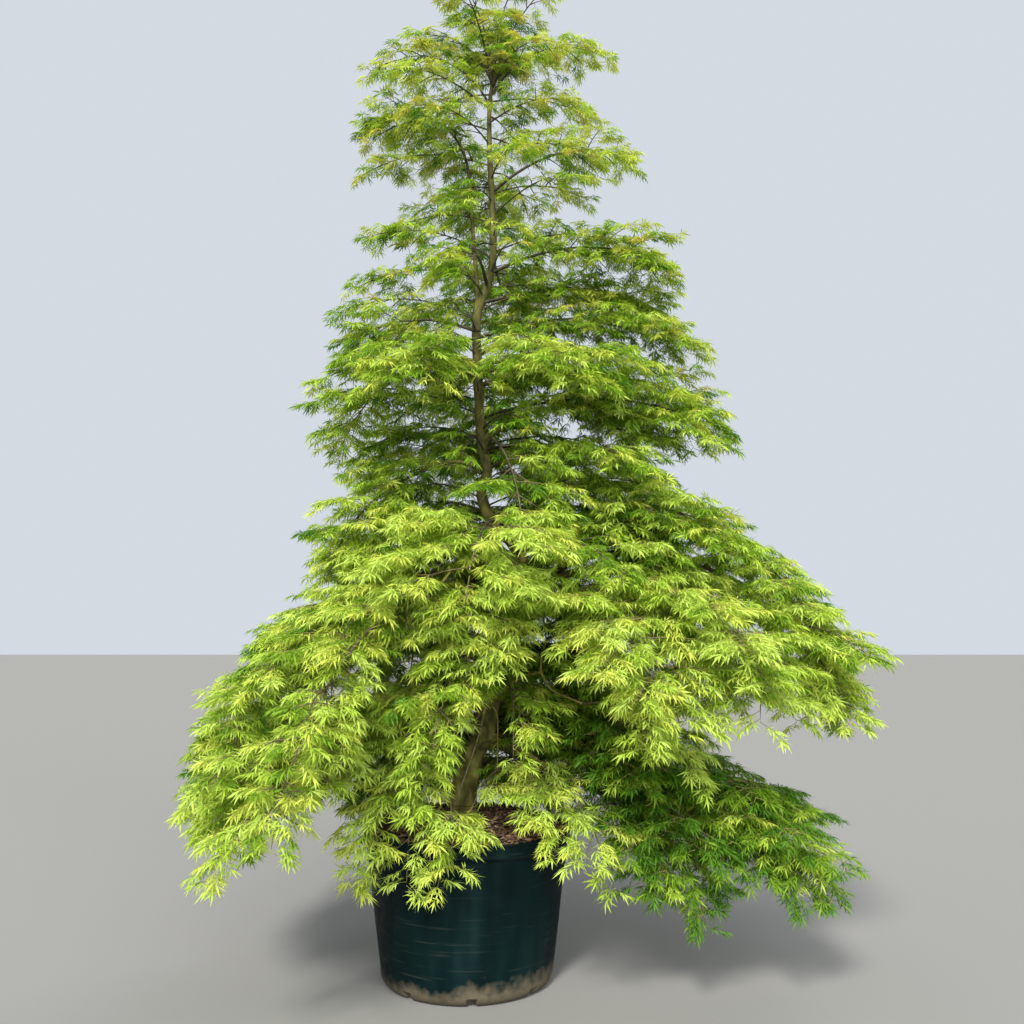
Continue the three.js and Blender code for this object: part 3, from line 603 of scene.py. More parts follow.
def mesh_object(name, vertices, faces, materials, smooth=False, material_index=None):
    """A mesh piece from arrays, its faces all triangles or all quads."""
    mesh = bpy.data.meshes.new(name)
    faces = np.asarray(faces, np.int32)
    corners = faces.shape[1]
    mesh.vertices.add(len(vertices))
    mesh.vertices.foreach_set("co", np.asarray(vertices, np.float32).ravel())
    mesh.loops.add(faces.size)
    mesh.loops.foreach_set("vertex_index", faces.ravel())
    mesh.polygons.add(len(faces))
    mesh.polygons.foreach_set("loop_start", np.arange(0, faces.size, corners, dtype=np.int32))
    mesh.polygons.foreach_set("loop_total", np.full(len(faces), corners, np.int32))
    if smooth:
        mesh.polygons.foreach_set("use_smooth", np.ones(len(faces), bool))
    for material in materials:
        mesh.materials.append(material)
    if material_index is not None:
        mesh.polygons.foreach_set("material_index", material_index.astype(np.int32))
    mesh.update(calc_edges=True)
    mesh.validate()
    piece = put(name, mesh)
    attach(piece, "root")
    return piece


def frames_along(lines):
    """Two directions square to each line at each of its points."""
    way = np.empty_like(lines)
    way[:, 1:-1] = lines[:, 2:] - lines[:, :-2]
    way[:, 0] = lines[:, 1] - lines[:, 0]
    way[:, -1] = lines[:, -1] - lines[:, -2]
    way = unit(way)
    side = across_of(way)
    return side, np.cross(way, side)


def tubes(lines, radii, sides):
    """Tapering tubes that end in a point, along many lines of the same number of points, as triangles."""
    count, rings, _ = lines.shape
    rings -= 1
    side, up = frames_along(lines)
    side, up = side[:, :-1], up[:, :-1]
    turn = np.arange(sides) / sides * 2 * math.pi
    ring = side[:, :, None, :] * np.cos(turn)[:, None] + up[:, :, None, :] * np.sin(turn)[:, None]
    vertices = (lines[:, :-1, None, :] + ring * radii[:, :-1, None, None]).reshape(-1, 3)
    base = (np.arange(count) * rings * sides)[:, None, None]
    r = np.arange(rings - 1)[None, :, None] * sides
    s = np.arange(sides)[None, None, :]
    n = (s + 1) % sides
    a, b, c, d = (base + r + s, base + r + n, base + r + sides + n, base + r + sides + s)
    quads = np.stack([a, b, c, a, c, d], -1).reshape(-1, 3)
    last = base[:, :, 0] + (rings - 1) * sides
    tip = count * rings * sides + np.arange(count)[:, None]
    ends = np.stack([last + s[0], last + n[0], np.broadcast_to(tip, (count, sides))], -1)
    return np.vstack([vertices, lines[:, -1]]), np.vstack([quads, ends.reshape(-1, 3)])


def ring_faces(rows, columns):
    """The quads of a skin whose columns close on themselves."""
    i, j = np.meshgrid(np.arange(rows - 1), np.arange(columns), indexing="ij")
    low, high = i * columns, (i + 1) * columns
    k = (j + 1) % columns
    return np.stack([low + j, low + k, high + k, high + j], -1).reshape(-1, 4)


def joined(parts):
    """Several (vertices, faces) pairs as one."""
    vertices, faces, offset = [], [], 0
    for v, f in parts:
        vertices.append(v)
        faces.append(f + offset)
        offset += len(v)
    return np.vstack(vertices), np.vstack(faces)


def lattice(rows, columns, seed):
    return np.random.default_rng(seed).uniform(-1, 1, (rows, columns))


def relief(table, u, v):
    """Smooth noise from a table; u runs along it, v runs round it and closes on itself."""
    rows, columns = table.shape
    u = np.clip(u, 0, rows - 1.001)
    i, j = np.floor(u).astype(int), np.floor(v).astype(int)
    fu, fv = u - i, v - j
    fu, fv = fu * fu * (3 - 2 * fu), fv * fv * (3 - 2 * fv)
    j, k = j % columns, (j + 1) % columns
    low = table[i, j] * (1 - fv) + table[i, k] * fv
    high = table[i + 1, j] * (1 - fv) + table[i + 1, k] * fv
    return low * (1 - fu) + high * fu


# Materials

class Surface:
    """A material in the making: its nodes, their links and its main shader."""

    def __init__(self, name, inputs):
        self.material = bpy.data.materials.new(name)
        self.material.use_nodes = True
        self.tree = self.material.node_tree
        self.shader = self.tree.nodes["Principled BSDF"]
        self.feed(self.shader, inputs)

    def feed(self, node, inputs):
        """Sets the sockets of a node to constants, or links them to the outputs of other nodes."""
        for socket, value in inputs.items():
            if isinstance(value, bpy.types.NodeSocket):
                self.tree.links.new(value, node.inputs[socket])
            else:
                node.inputs[socket].default_value = value

    def node(self, kind, inputs, output):
        """One output of a new node."""
        node = self.tree.nodes.new(kind)
        self.feed(node, inputs)
        return node.outputs[output]

    def place(self):
        return self.node("ShaderNodeTexCoord", {}, "Object")

    def height(self, place):
        return self.node("ShaderNodeSeparateXYZ", {"Vector": place}, "Z")

    def noise(self, place, scale, detail, stretch=(1, 1, 1)):
        mapped = self.node("ShaderNodeMapping", {"Scale": stretch, "Vector": place}, "Vector")
        return self.node("ShaderNodeTexNoise", {"Scale": scale, "Detail": detail, "Vector": mapped}, "Fac")

    def ramp(self, value, *stops):
        """Colours along a value, each stop being its place and its colour."""
        node = self.tree.nodes.new("ShaderNodeValToRGB")
        elements = node.color_ramp.elements
        for end, (position, colour) in enumerate((stops[0], stops[-1])):
            elements[end].position = position
            elements[end].color = (*colour, 1)
        for position, colour in stops[1:-1]:
            elements.new(position).color = (*colour, 1)
        self.feed(node, {"Fac": value})
        return node.outputs["Color"]

    def mix(self, factor, first, second, mode="MIX"):
        node = self.tree.nodes.new("ShaderNodeMix")
        node.data_type = "RGBA"
        node.blend_type = mode
        self.feed(node, {"Factor": factor, 6: first, 7: second})
        return node.outputs[2]

    def between(self, value, low, high, most=1.0):
        """Where a value lies from low to high, as 0 to the most."""
        stretch = {"Value": value, "From Min": low, "From Max": high, "To Max": most}
        return self.node("ShaderNodeMapRange", stretch, "Result")

    def times_plus(self, value, factor, base):
        node = self.tree.nodes.new("ShaderNodeMath")
        node.operation = "MULTIPLY_ADD"
        self.feed(node, {0: value, 1: factor, 2: base})
        return node.outputs["Value"]

    def bump(self, heights, distance, strength=0.6):
        inputs = {"Strength": strength, "Distance": distance, "Height": heights}
        self.feed(self.shader, {"Normal": self.node("ShaderNodeBump", inputs, "Normal")})


def leaf_material(name, colour, glow, share):
    """A thin leaf: a satin surface that lets some light through in its own brighter colour."""
    leaf = Surface(name, {"Base Color": (*colour, 1), "Roughness": 0.55, "Specular IOR Level": 0.2})
    through = leaf.node("ShaderNodeBsdfTranslucent", {"Color": (*glow, 1)}, "BSDF")
    both = {"Fac": share, 1: leaf.shader.outputs["BSDF"], 2: through}
    mixed = leaf.node("ShaderNodeMixShader", both, "Shader")
    leaf.feed(leaf.tree.nodes["Material Output"], {"Surface": mixed})
    return leaf.material


def wood_material(name, dark, middle, light, scale, stretch, roughness=0.85, relief_depth=0.004):
    """Bark: fissures stretched along the limb, with pale patches, and darker high up with painted shade of
    the crown.
    """
    skin = Surface(name, {"Roughness": roughness})
    place = skin.place()
    fissures = skin.noise(place, scale, 6, stretch)
    patches = skin.noise(place, scale * 0.3, 3)
    grain = skin.ramp(fissures, (0.32, dark), (0.52, middle), (0.74, light))
    tint = skin.ramp(patches, (0.35, (0.62, 0.62, 0.6)), (0.65, (1.15, 1.12, 1.02)))
    patched = skin.mix(1, grain, tint, "MULTIPLY")
    # Painted shade: the bark's colour darkens upward between the two heights, for the crown's shade on the
    # leader
    painted_shade = skin.between(skin.height(place), *BARK_SHADE_HEIGHTS)
    skin.feed(skin.shader, {"Base Color": skin.mix(painted_shade, patched, (0.5, 0.5, 0.42, 1), "MULTIPLY")})
    skin.bump(fissures, relief_depth)
    return skin.material


def pot_material():
    """Matt black-blue moulded plastic, dusty and scuffed, with dried soil splashed round its foot."""
    skin = Surface("pot_plastic", {"Specular IOR Level": 0.07})
    place = skin.place()
    streaks = skin.noise(place, 9, 5, (1, 1, 0.12))
    grime = skin.noise(place, 26, 6)
    patches = skin.noise(place, 2.6, 2)
    scratches = skin.noise(place, 4, 5, (1, 1, 22))
    plastic = skin.ramp(streaks, (0.3, (0.0004, 0.0035, 0.004)), (0.55, (0.001, 0.007, 0.0075)),
                        (0.8, (0.004, 0.014, 0.0145)))
    ragged_height = skin.times_plus(grime, -0.11, skin.times_plus(patches, -0.16, skin.height(place)))
    soiled = skin.mix(skin.between(ragged_height, -0.046, -0.11, 0.85), plastic, (0.088, 0.074, 0.050, 1))
    scuffed = skin.mix(skin.between(scratches, 0.60, 0.90), soiled, (0.028, 0.036, 0.031, 1))
    rough = skin.ramp(grime, (0.3, (0.42, 0.42, 0.42)), (0.7, (0.62, 0.62, 0.62)))
    skin.feed(skin.shader, {"Base Color": scuffed, "Roughness": rough})
    skin.bump(grime, 0.0006, 0.35)
    return skin.material


def chip_material(name, dark, light):
    chip = Surface(name, {"Roughness": 0.9})
    grain = chip.noise(chip.place(), 90, 5)
    chip.feed(chip.shader, {"Base Color": chip.ramp(grain, (0.3, dark), (0.72, light))})
    chip.bump(grain, 0.002)
    return chip.material


BARK = wood_material("bark", (0.05, 0.050, 0.008), (0.155, 0.146, 0.026), (0.33, 0.29, 0.085),
                     34, (1, 1, 0.4))
TWIG = wood_material("twig_bark", (0.035, 0.027, 0.015), (0.09, 0.07, 0.036), (0.19, 0.15, 0.08),
                     60, (1, 1, 1), 0.7, 0.001)
SPRIG = wood_material("young_twig", (0.13, 0.14, 0.03), (0.23, 0.22, 0.05), (0.34, 0.22, 0.08),
                      30, (1, 1, 1), 0.55, 0.0005)

# The trunk and boughs, with the relief of their bark

def barked(line, radii, sides, ridges, depth, seed):
    """A limb along one line with long ridges, lumps and rings in its skin."""
    side, up = (way[0] for way in frames_along(line[None]))
    length = along(line)
    u, v = np.meshgrid(length, np.arange(sides) / sides, indexing="ij")
    swell = 1
    for k, (cell, cells, weight) in enumerate(BARK_RELIEF):
        cells = cells or ridges
        table = lattice(int(length[-1] / cell) + 3, cells, seed + k)
        swell = swell + weight * depth * relief(table, u / cell, v * cells)
    r = radii[:, None] * swell
    angle = v * 2 * math.pi
    points = (line[:, None, :] + side[:, None, :] * (np.cos(angle) * r)[..., None]
              + up[:, None, :] * (np.sin(angle) * r)[..., None])
    quads = ring_faces(len(line), sides)
    last = (len(line) - 1) * sides + np.arange(sides)
    cap = np.stack([last, np.roll(last, -1), np.full(sides, len(line) * sides)], -1)
    vertices = np.vstack([points.reshape(-1, 3), line[-1:]])
    return vertices, np.vstack([quads[:, [0, 1, 2]], quads[:, [0, 2, 3]], cap])


def bough_line(height, heading, reach, arch, rise):
    share = np.linspace(0, 1, 33)[:, None]
    out = turned(math.radians(heading), 0.0)[None] * (reach / 1000 * share)
    out[:, 2] = (4 * arch * share * (1 - share) + rise * share)[:, 0] / 1000
    return trunk_at(height / 1000) + out


bough_lines = {}
wood = [barked(TRUNK[:, :3], TRUNK[:, 3], sides=40, ridges=13, depth=0.055, seed=11)]
dark_wood = []
for i, (name, (*course, root_radius, tip_radius)) in enumerate(BOUGHS.items()):
    line = bough_line(*course)
    bough_lines[name] = line
    fine = evenly(line, 0.008)
    out = np.linspace(0, 1, len(fine))
    beyond = np.maximum(out * np.linalg.norm(line[-1] - line[0]) - trunk_radius(course[0] / 1000), 0)
    radii = (root_radius + (tip_radius - root_radius) * out) / 1000
    radii = radii * (1 + BOUGH_COLLAR * np.exp(-beyond / COLLAR_REACH))
    wood.append(barked(fine, radii, sides=18, ridges=9, depth=0.06, seed=100 + i * 3))

# The stub's end is rounded off
knot_at = trunk_at(KNOT_HEIGHT)
knot_line = evenly(np.stack([knot_at, knot_at + np.array(KNOT_REACH)]), 0.004)
knot_out = np.linspace(0, 1, len(knot_line))
knot_radii = KNOT_RADIUS * (1.5 - 0.6 * knot_out) * np.sqrt(np.clip(1.02 - knot_out**8, 0, 1))
wood.append(barked(knot_line, knot_radii, sides=16, ridges=7, depth=0.08, seed=900))
for name, points in FRONT_LIMBS.items():
    line = evenly(smooth_path(points, 10), 0.006)
    bough_lines[name] = line[:, :3]
    limb = barked(line[:, :3], line[:, 3], sides=12, ridges=7, depth=0.05, seed=300 + len(wood))
    (dark_wood if name in DARK_LIMBS else wood).append(limb)
bark = mesh_object("trunk_and_boughs", *joined(wood), [BARK], smooth=True)
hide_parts("trunk", *BOUGHS)

# Foliage: a stem for each mass, then twigs, sprigs and leaves

stems_wanted = []


def want(start, way, root_radius, turn, droop, length, width, look, step=1.0):
    """One stem: where it starts, how it runs, how wide its twigs spread and how far apart they are."""
    stems_wanted.append((start, way, root_radius, turn, droop, length, width, TWIG_STEP * step, look))


for root, turn, droop, length, width, look in ON_BOUGHS.values():
    line = bough_lines[root]
    want(line[-1], unit(line[-1] - line[-2]), BOUGHS[root][-1] / 1000, turn, droop, length / 1000,
         width / 1000, look, LOOKS[look][SPACING])
for height, heading, pitch, turn, droop, length, width, look in [*ON_TRUNK.values(), *SHOOTS]:
    way = turned(math.radians(heading), math.radians(pitch))
    radius = min(TRUNK_STEM, trunk_radius(height / 1000) * 0.7)
    want(trunk_at(height / 1000), way, radius, turn, droop, length / 1000, width / 1000, look)

# Along the boughs, smaller sprays leave on either side
for root, sprays in SIDE_SPRAYS.items():
    line = bough_lines[root]
    for share, turn_off, pitch, droop, length, width, look in sprays:
        i = min(int(share * (len(line) - 1)), len(line) - 2)
        heading = heading_of(line[-1] - line[0]) + math.radians(turn_off)
        want(line[i], turned(heading, math.radians(pitch)), BOUGH_STEM, 0, droop, length / 1000, width / 1000,
             look, SIDE_SPACING)


def up_the_trunk(count, foot, head):
    """Heights evenly up the trunk, and headings that turn by the golden angle with a little chance."""
    for i in range(count):
        height = foot + (head - foot) * (i + 0.5) / count
        yield height, math.radians(i * GOLDEN_TURN + rng.uniform(-20, 20))


# Between the masses the leader bears small sprays all the way up, each within the crown's reach
reach_heights, reach_left, reach_right = zip(*LEADER_REACH)
for height, heading in up_the_trunk(*LEADER_SPRAYS):
    left = np.interp(height, reach_heights, reach_left)
    right = np.interp(height, reach_heights, reach_right)
    lean = math.cos(heading)
    sides = right if lean > 0 else left
    reach = 0.5 * (left + right) * (1 - lean * lean) * LEADER_DEPTH + sides * lean * lean
    if height < TOP_FROM and math.sin(heading) < TO_THE_FRONT:
        reach *= FRONT_REACH
    look = "fresh" if height < UPPER_FROM else "upper" if height < TOP_FROM else "top"
    want(trunk_at(height), turned(heading, math.radians(rng.uniform(*LEADER_PITCH))), LEADER_STEM,
         rng.uniform(*SPRAY_TURN), rng.uniform(*LEADER_DROOP),
         max(reach * rng.uniform(*LEADER_FILL) - LEADER_INSET, LEADER_SHORTEST), LEADER_WIDTH,
         look, LEADER_SPACING)

# Under the dome the trunk bears thin sprays that fill the skirt from within
for height, heading in up_the_trunk(*SKIRT_SPRAYS):
    want(trunk_at(height), turned(heading, math.radians(rng.uniform(*SKIRT_PITCH))), BOUGH_STEM,
         rng.uniform(*SPRAY_TURN), rng.uniform(*SKIRT_DROOP), rng.uniform(*SKIRT_LENGTH), SKIRT_WIDTH,
         "fresh", SKIRT_SPACING)

*columns, looks = zip(*stems_wanted)
starts, ways, stem_roots, turns, droops, lengths, widths, twig_steps = map(np.array, columns)
stems = grow(starts, ways, turns, droops, lengths, STEM_STEPS)


def of_looks(column):
    """One column of the looks, for each stem."""
    return np.array([LOOKS[look][column] for look in looks])


def clear(points):
    """True where a line or leaf keeps off the floor, the pot, the mulch and the trunk."""
    z = points[..., 2]
    out = np.hypot(points[..., 0], points[..., 1])
    wall = BASE_RADIUS + (RIM_RADIUS - BASE_RADIUS) * np.clip(z / POT_HEIGHT, 0, 1)
    in_pot = (z < POT_HEIGHT + RIM_GAP) & (out < wall + WALL_GAP)
    on_mulch = (out < MULCH_SPACE[0]) & (z < MULCH_SPACE[1])
    off_bark = (off_trunk(points) > trunk_radius(z) + BARK_GAP) | (z > LEADER_TOP)
    return (z > FLOOR_GAP) & ~in_pot & ~on_mulch & off_bark


def seen_at(points):
    """Where points appear on the upright plane of the trunk, as x and z."""
    away = -EYE[1] / (points[:, 1] - EYE[1])
    return EYE[0] + (points[:, 0] - EYE[0]) * away, EYE[2] + (points[:, 2] - EYE[2]) * away


def hides_trunk(points):
    """True where a point lies in front of a stretch of trunk or a slender limb that the photo shows bare."""
    x, z = seen_at(points)
    off = x - np.interp(z, TRUNK[:, 2], TRUNK[:, 0])
    hidden = np.zeros(len(points), bool)
    for low, high, left, right in BARE_STRETCHES:
        hidden |= (z > low) & (z < high) & (off > -left) & (off < right)
    hidden &= points[:, 1] < 0.0
    for name in FRONT_LIMBS:
        line = bough_lines[name][::4]
        gap = LIMB_GAP
        if name in HALF_HIDDEN:
            line = line[np.arange(len(line)) % 9 < 4]
            gap = HALF_HIDDEN_GAP
        for limb_x, limb_y, limb_z in zip(seen_at(line)[0], line[:, 1], seen_at(line)[1]):
            close = (np.abs(x - limb_x) < gap) & (np.abs(z - limb_z) < gap)
            hidden |= close & (points[:, 1] < limb_y - 0.01)
    return hidden


def kept_open(points):
    """True for the shoots that stay, by the openings."""
    x, z = seen_at(points)
    stays = np.ones(len(points), bool)
    for middle_x, middle_z, wide, high, share in OPENINGS:
        inside = ((x - middle_x) / wide) ** 2 + ((z - middle_z) / high) ** 2 < 1
        stays &= ~inside | (chance(0, 1, points) < share)
    return stays


# Twigs in pairs along each stem
pairs = np.maximum((lengths * (1 - BARE_STEM) / twig_steps).round().astype(int), 3)
which, share, side, pair = spread_out(pairs, 0.5)
share = BARE_STEM + (1 - BARE_STEM) * share
point, way = sample(stems, which, share)
angle = (TWIG_ANGLE[0] + (TWIG_ANGLE[1] - TWIG_ANGLE[0]) * share + chance(-9, 9, share)) * side
lift = TWIG_LIFT * np.where(pair % 2, -1, 1) + chance(-8, 8, share)
ahead = tipped(levelled(swung(way, angle), TWIG_LEVEL), -lift)
width = widths[which] * (NARROW_FOOT + (1 - NARROW_FOOT) * np.minimum(1, share * 1.3))
width = width * np.where(share > BLUNT_END[0], BLUNT_END[1], 1.0)
reach = np.maximum(width - LEAF_REACH, LEAF_REACH) * chance(0.78, 1.08, share)
twigs = grow(point, ahead, 0, TWIG_DROOP, reach, 4)
ok = clear(twigs[:, 2:]).all(axis=1)
ok &= hides_trunk(twigs.reshape(-1, 3)).reshape(len(twigs), -1).sum(axis=1) < 2

# The stem's own tip counts as a twig
every_stem = np.arange(len(stems))
tips = grow(*sample(stems, every_stem, 0.999), 0, TIP_DROOP, TIP_REACH, 4)
good = clear(tips[:, 2:]).all(axis=1)
twigs = np.concatenate([twigs[ok], tips[good]])
reach = np.concatenate([reach[ok], np.full(good.sum(), TIP_REACH)])
twig_mass = np.concatenate([which[ok], every_stem[good]])
twig_share = np.concatenate([share[ok], np.ones(good.sum())])

# Sprigs along each twig
sprig_pairs = np.maximum((reach * of_looks(CLOSENESS)[twig_mass] / SPRIG_STEP).round().astype(int), 2)
which, share, side, _ = spread_out(sprig_pairs, 0.7)
bare = np.where(reach[which] > 0.25, 0.2, 0.12)
share = bare + (1 - bare) * share
point, way = sample(twigs, which, share)
ahead = swung(way, (SPRIG_ANGLE + chance(-14, 14, share)) * side)
ahead = tipped(levelled(ahead, SPRIG_LEVEL), chance(-12, 12, share))
sprig_length = (SHORTEST_SPRIG + 0.28 * reach[which] * (1 - 0.7 * share)) * chance(0.7, 1.2, share)
sprig_length = np.minimum(sprig_length, LONGEST_SPRIG)
droop = SPRIG_DROOP * chance(0.5, 1.3, share)
sprigs = grow(point, ahead, chance(-14, 14, share), droop, sprig_length, 2)
middle = sprigs[:, 1]
ok = clear(sprigs).all(axis=1) & ~hides_trunk(middle) & kept_open(middle)
airy = np.interp(off_trunk(middle), [0.10, 0.45], [AIRY_HEART, 1.0])
ok &= (middle[:, 2] < AIRY_FROM) | (chance(0, 1, sprigs) < airy)

# A twig that has lost most of its sprigs goes with the rest of them
born = np.bincount(which, minlength=len(twigs))
leafy = np.bincount(which[ok], minlength=len(twigs)) > LEAST_LEAFY * born
ok &= leafy[which]
sprigs, sprig_length, sprig_twig, sprig_share = sprigs[ok], sprig_length[ok], which[ok], share[ok]
sprig_mass = twig_mass[sprig_twig]

# Leaves: in pairs along each sprig and one at its tip
leaf_pairs = np.maximum((sprig_length / LEAF_STEP).round().astype(int), 1)
which, share, side, _ = spread_out(leaf_pairs, 0.5)
root, way = sample(sprigs, which, FIRST_LEAF + (1 - FIRST_LEAF) * share)
ahead = swung(way, (LEAF_SPLAY + chance(-16, 16, share)) * side)
end_root, end_way = sample(sprigs, np.arange(len(sprigs)), 1.0)
root = np.concatenate([root, end_root])
ahead = np.concatenate([ahead, end_way])
leaf_sprig = np.concatenate([which, np.arange(len(sprigs))])
ahead = tipped(levelled(ahead, LEAF_LEVEL), LEAF_TIP * chance(-0.6, 2.2, ahead))
size = of_looks(LEAF_LENGTH)[sprig_mass[leaf_sprig]] * chance(0.75, 1.15, ahead)

# Leaves keep within the solids' box and a little more, and few hang before the bare stretches
margin = 0.02 * (np.array(solid_high) - np.array(solid_low)) + 0.005
reachable = root + ahead * size[:, None] * 1.1
ok = clear(root) & clear(reachable) & (reachable > np.array(solid_low) - margin).all(axis=1)
ok &= (reachable < np.array(solid_high) + margin).all(axis=1)
root, ahead, size, leaf_sprig = root[ok], ahead[ok], size[ok], leaf_sprig[ok]
ok = ~hides_trunk(root) | (chance(0, 1, root) < STRAY_LEAVES)
root, ahead, size, leaf_sprig = root[ok], ahead[ok], size[ok], leaf_sprig[ok]

# The colour of each sprig, dealt out by look and, as painted shade, darker the deeper in the crown it lies,
# except in hanging sprays
gets_painted_shade = np.array([look != "hanging" for look in looks])[sprig_mass]
depth = (np.clip(1 - off_trunk(sprigs[:, 1]) / PAINTED_SHADE_REACH, 0, 1) * gets_painted_shade)[:, None]
shares = of_looks(SHARES)[sprig_mass]
shares = shares * (1 - PAINTED_SHADE_WEIGHT * depth) + PAINTED_SHADE_SHARES * PAINTED_SHADE_WEIGHT * depth
steps = np.cumsum(shares, axis=1)
twig_luck = chance(0, 1, twigs)
luck = np.clip(TWIG_LUCK * twig_luck[sprig_twig] + (1 - TWIG_LUCK) * chance(0, 1, sprigs), 0, 1)
rank = np.argsort(np.argsort(luck)) / len(luck)
sprig_colour = (rank[:, None] * steps[:, -1:] > steps).sum(axis=1).clip(0, len(LEAF_COLOURS) - 1)


# The side lobes of a leaf: turn from its middle line, and length as a share of the leaf's
LOBES = [(29, 0.86), (-29, 0.86), (60, 0.76), (-60, 0.76), (97, 0.52), (-97, 0.52)]
LOBE_ROOT = 0.13
LOBE_HALF_WIDTH = 0.09


def leaf_template(seed):
    """One leaf in leaf lengths, its foot at 0: seven narrow drooping lobes, the middle one from the foot."""
    r = np.random.default_rng(seed)
    vertices = [(0, 0, 0), (LOBE_ROOT, 0, 0), (0.55, 0.06, -0.07), (0.55, -0.06, -0.07), (1.02, 0, -0.33)]
    faces = [(0, 3, 2), (2, 3, 4)]
    for turn, length in LOBES:
        a = math.radians(turn + r.uniform(-8, 8))
        length *= r.uniform(0.84, 1.12)
        fall = r.uniform(0.15, 0.45)
        c, s = math.cos(a), math.sin(a)
        wide = length * 0.5, math.copysign(LOBE_HALF_WIDTH, -turn)
        for x, y in (wide, (length, 0)):
            vertices.append((LOBE_ROOT + c * x - s * y, s * x + c * y, -fall * x * x))
        faces.append((1, len(vertices) - 2, len(vertices) - 1))
    return np.array(vertices), np.array(faces)


TEMPLATES = [leaf_template(700 + i) for i in range(6)]
leaf_kind = rng.integers(0, len(TEMPLATES), len(root))
roll = np.radians(rng.normal(0, LEAF_ROLL, len(root)))[:, None]
side_way = across_of(ahead)
up_way = np.cross(ahead, side_way)
side_way, up_way = (side_way * np.cos(roll) + up_way * np.sin(roll),
                    up_way * np.cos(roll) - side_way * np.sin(roll))


def leaves_of(chosen):
    parts = []
    for kind, (vertices, faces) in enumerate(TEMPLATES):
        pick = chosen[leaf_kind[chosen] == kind]
        if not len(pick):
            continue
        v = vertices[None] * size[pick][:, None, None]
        placed = (root[pick][:, None] + ahead[pick][:, None] * v[..., :1]
                  + side_way[pick][:, None] * v[..., 1:2] + up_way[pick][:, None] * v[..., 2:3])
        offset = (np.arange(len(pick)) * len(vertices))[:, None, None]
        parts.append((placed.reshape(-1, 3), (faces[None] + offset).reshape(-1, 3)))
    return joined(parts)


most = FACES_PER_PIECE // len(TEMPLATES[0][1])
for c, (colour, (*look, slot)) in enumerate(LEAF_COLOURS.items()):
    material = leaf_material(f"leaf_{colour}", *look)
    chosen = np.flatnonzero(sprig_colour[leaf_sprig] == c)
    for part, first in enumerate(range(0, len(chosen), most), 1):
        batch = chosen[first:first + most]
        piece = mesh_object(f"leaves_{colour}_{part}", *leaves_of(batch), [material])
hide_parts(*ON_BOUGHS, *ON_TRUNK)

# Twigs thin out evenly and stems by their look; short sprigs are straight
stem_lines, share = cut_back(stems, twig_mass[leafy], twig_share[leafy], BARE_STEM)
stem_radii = stem_roots[:, None] + (STEM_TIP - stem_roots[:, None]) * share ** of_looks(THINNING)[:, None]
twig_lines, share = cut_back(twigs, sprig_twig, sprig_share, BARE_TWIG)
twig_radii = TWIG_ROOT - TWIG_TAPER * share
stem_parts = [*dark_wood, tubes(stem_lines, stem_radii, 5), tubes(twig_lines[leafy], twig_radii[leafy], 3)]
twig_piece = mesh_object("twigs", *joined(stem_parts), [TWIG], smooth=True)
bent = sprig_length > STRAIGHT_SPRIG
sprig_parts = []
for lines, radii in ((sprigs[bent], SPRIG_RADII), (sprigs[~bent][:, ::2], SPRIG_RADII[::2])):
    sprig_parts.append(tubes(lines, np.tile(radii, (len(lines), 1)), 3))
sprig_piece = mesh_object("sprigs", *joined(sprig_parts), [SPRIG], smooth=True)

# The pot

def lathe(profile, segments, dent):
    """A skin turned about the pot's axis, with dents worked into it."""
    angle = np.arange(segments) / segments * 2 * math.pi
    r, z = (np.repeat(np.array(column)[:, None], segments, 1) for column in zip(*profile))
    r, z = dent(r, z, angle[None])
    vertices = np.stack([r * np.cos(angle), r * np.sin(angle), z], -1).reshape(-1, 3)
    return vertices, ring_faces(len(profile), segments)


def wall_at(z):
    """The radius of the pot's wall under the rim band."""
    return BASE_RADIUS + (INNER_RIM - BASE_RADIUS) * (z - FOOT_ROUND) / (BAND_FOOT - 0.006 - FOOT_ROUND)


BAND_FOOT = POT_HEIGHT - BAND_HEIGHT
INNER_RIM = RIM_RADIUS - BAND_STEP - 0.002
LIP = RIM_RADIUS - BAND_STEP - POT_WALL
outside = [(0.0, 0.004), (FOOT_RADIUS - 0.03, 0.004), (FOOT_RADIUS - 0.026, 0.0), (FOOT_RADIUS, 0.0)]
for a in np.linspace(0.12, math.pi / 2, 14):
    outside.append((FOOT_RADIUS + (BASE_RADIUS - FOOT_RADIUS) * math.sin(a), FOOT_ROUND * (1 - math.cos(a))))
wall_heights = [*np.linspace(FOOT_ROUND + 0.01, BAND_FOOT - 0.03, 26), BAND_FOOT - 0.014, BAND_FOOT - 0.006]
outside += [(wall_at(z), z) for z in wall_heights]
outside += [(RIM_RADIUS - 0.005, BAND_FOOT - 0.003), (RIM_RADIUS - 0.002, BAND_FOOT)]
outside += [(RIM_RADIUS - 0.0035, BAND_FOOT + 0.008), (RIM_RADIUS - 0.003, POT_HEIGHT - 0.014)]
for a in np.radians(np.linspace(-60, 90, 7)):
    outside.append((RIM_RADIUS - 0.0045 + 0.0055 * math.cos(a), POT_HEIGHT - 0.006 + 0.0055 * math.sin(a)))
outside += [(INNER_RIM, POT_HEIGHT - 0.002), (LIP, POT_HEIGHT - 0.006), (LIP - 0.003, POT_HEIGHT - 0.06)]
DRAIN_TURNS = (np.arange(DRAINS) + 0.12) / DRAINS * 2 * math.pi - math.pi / 2


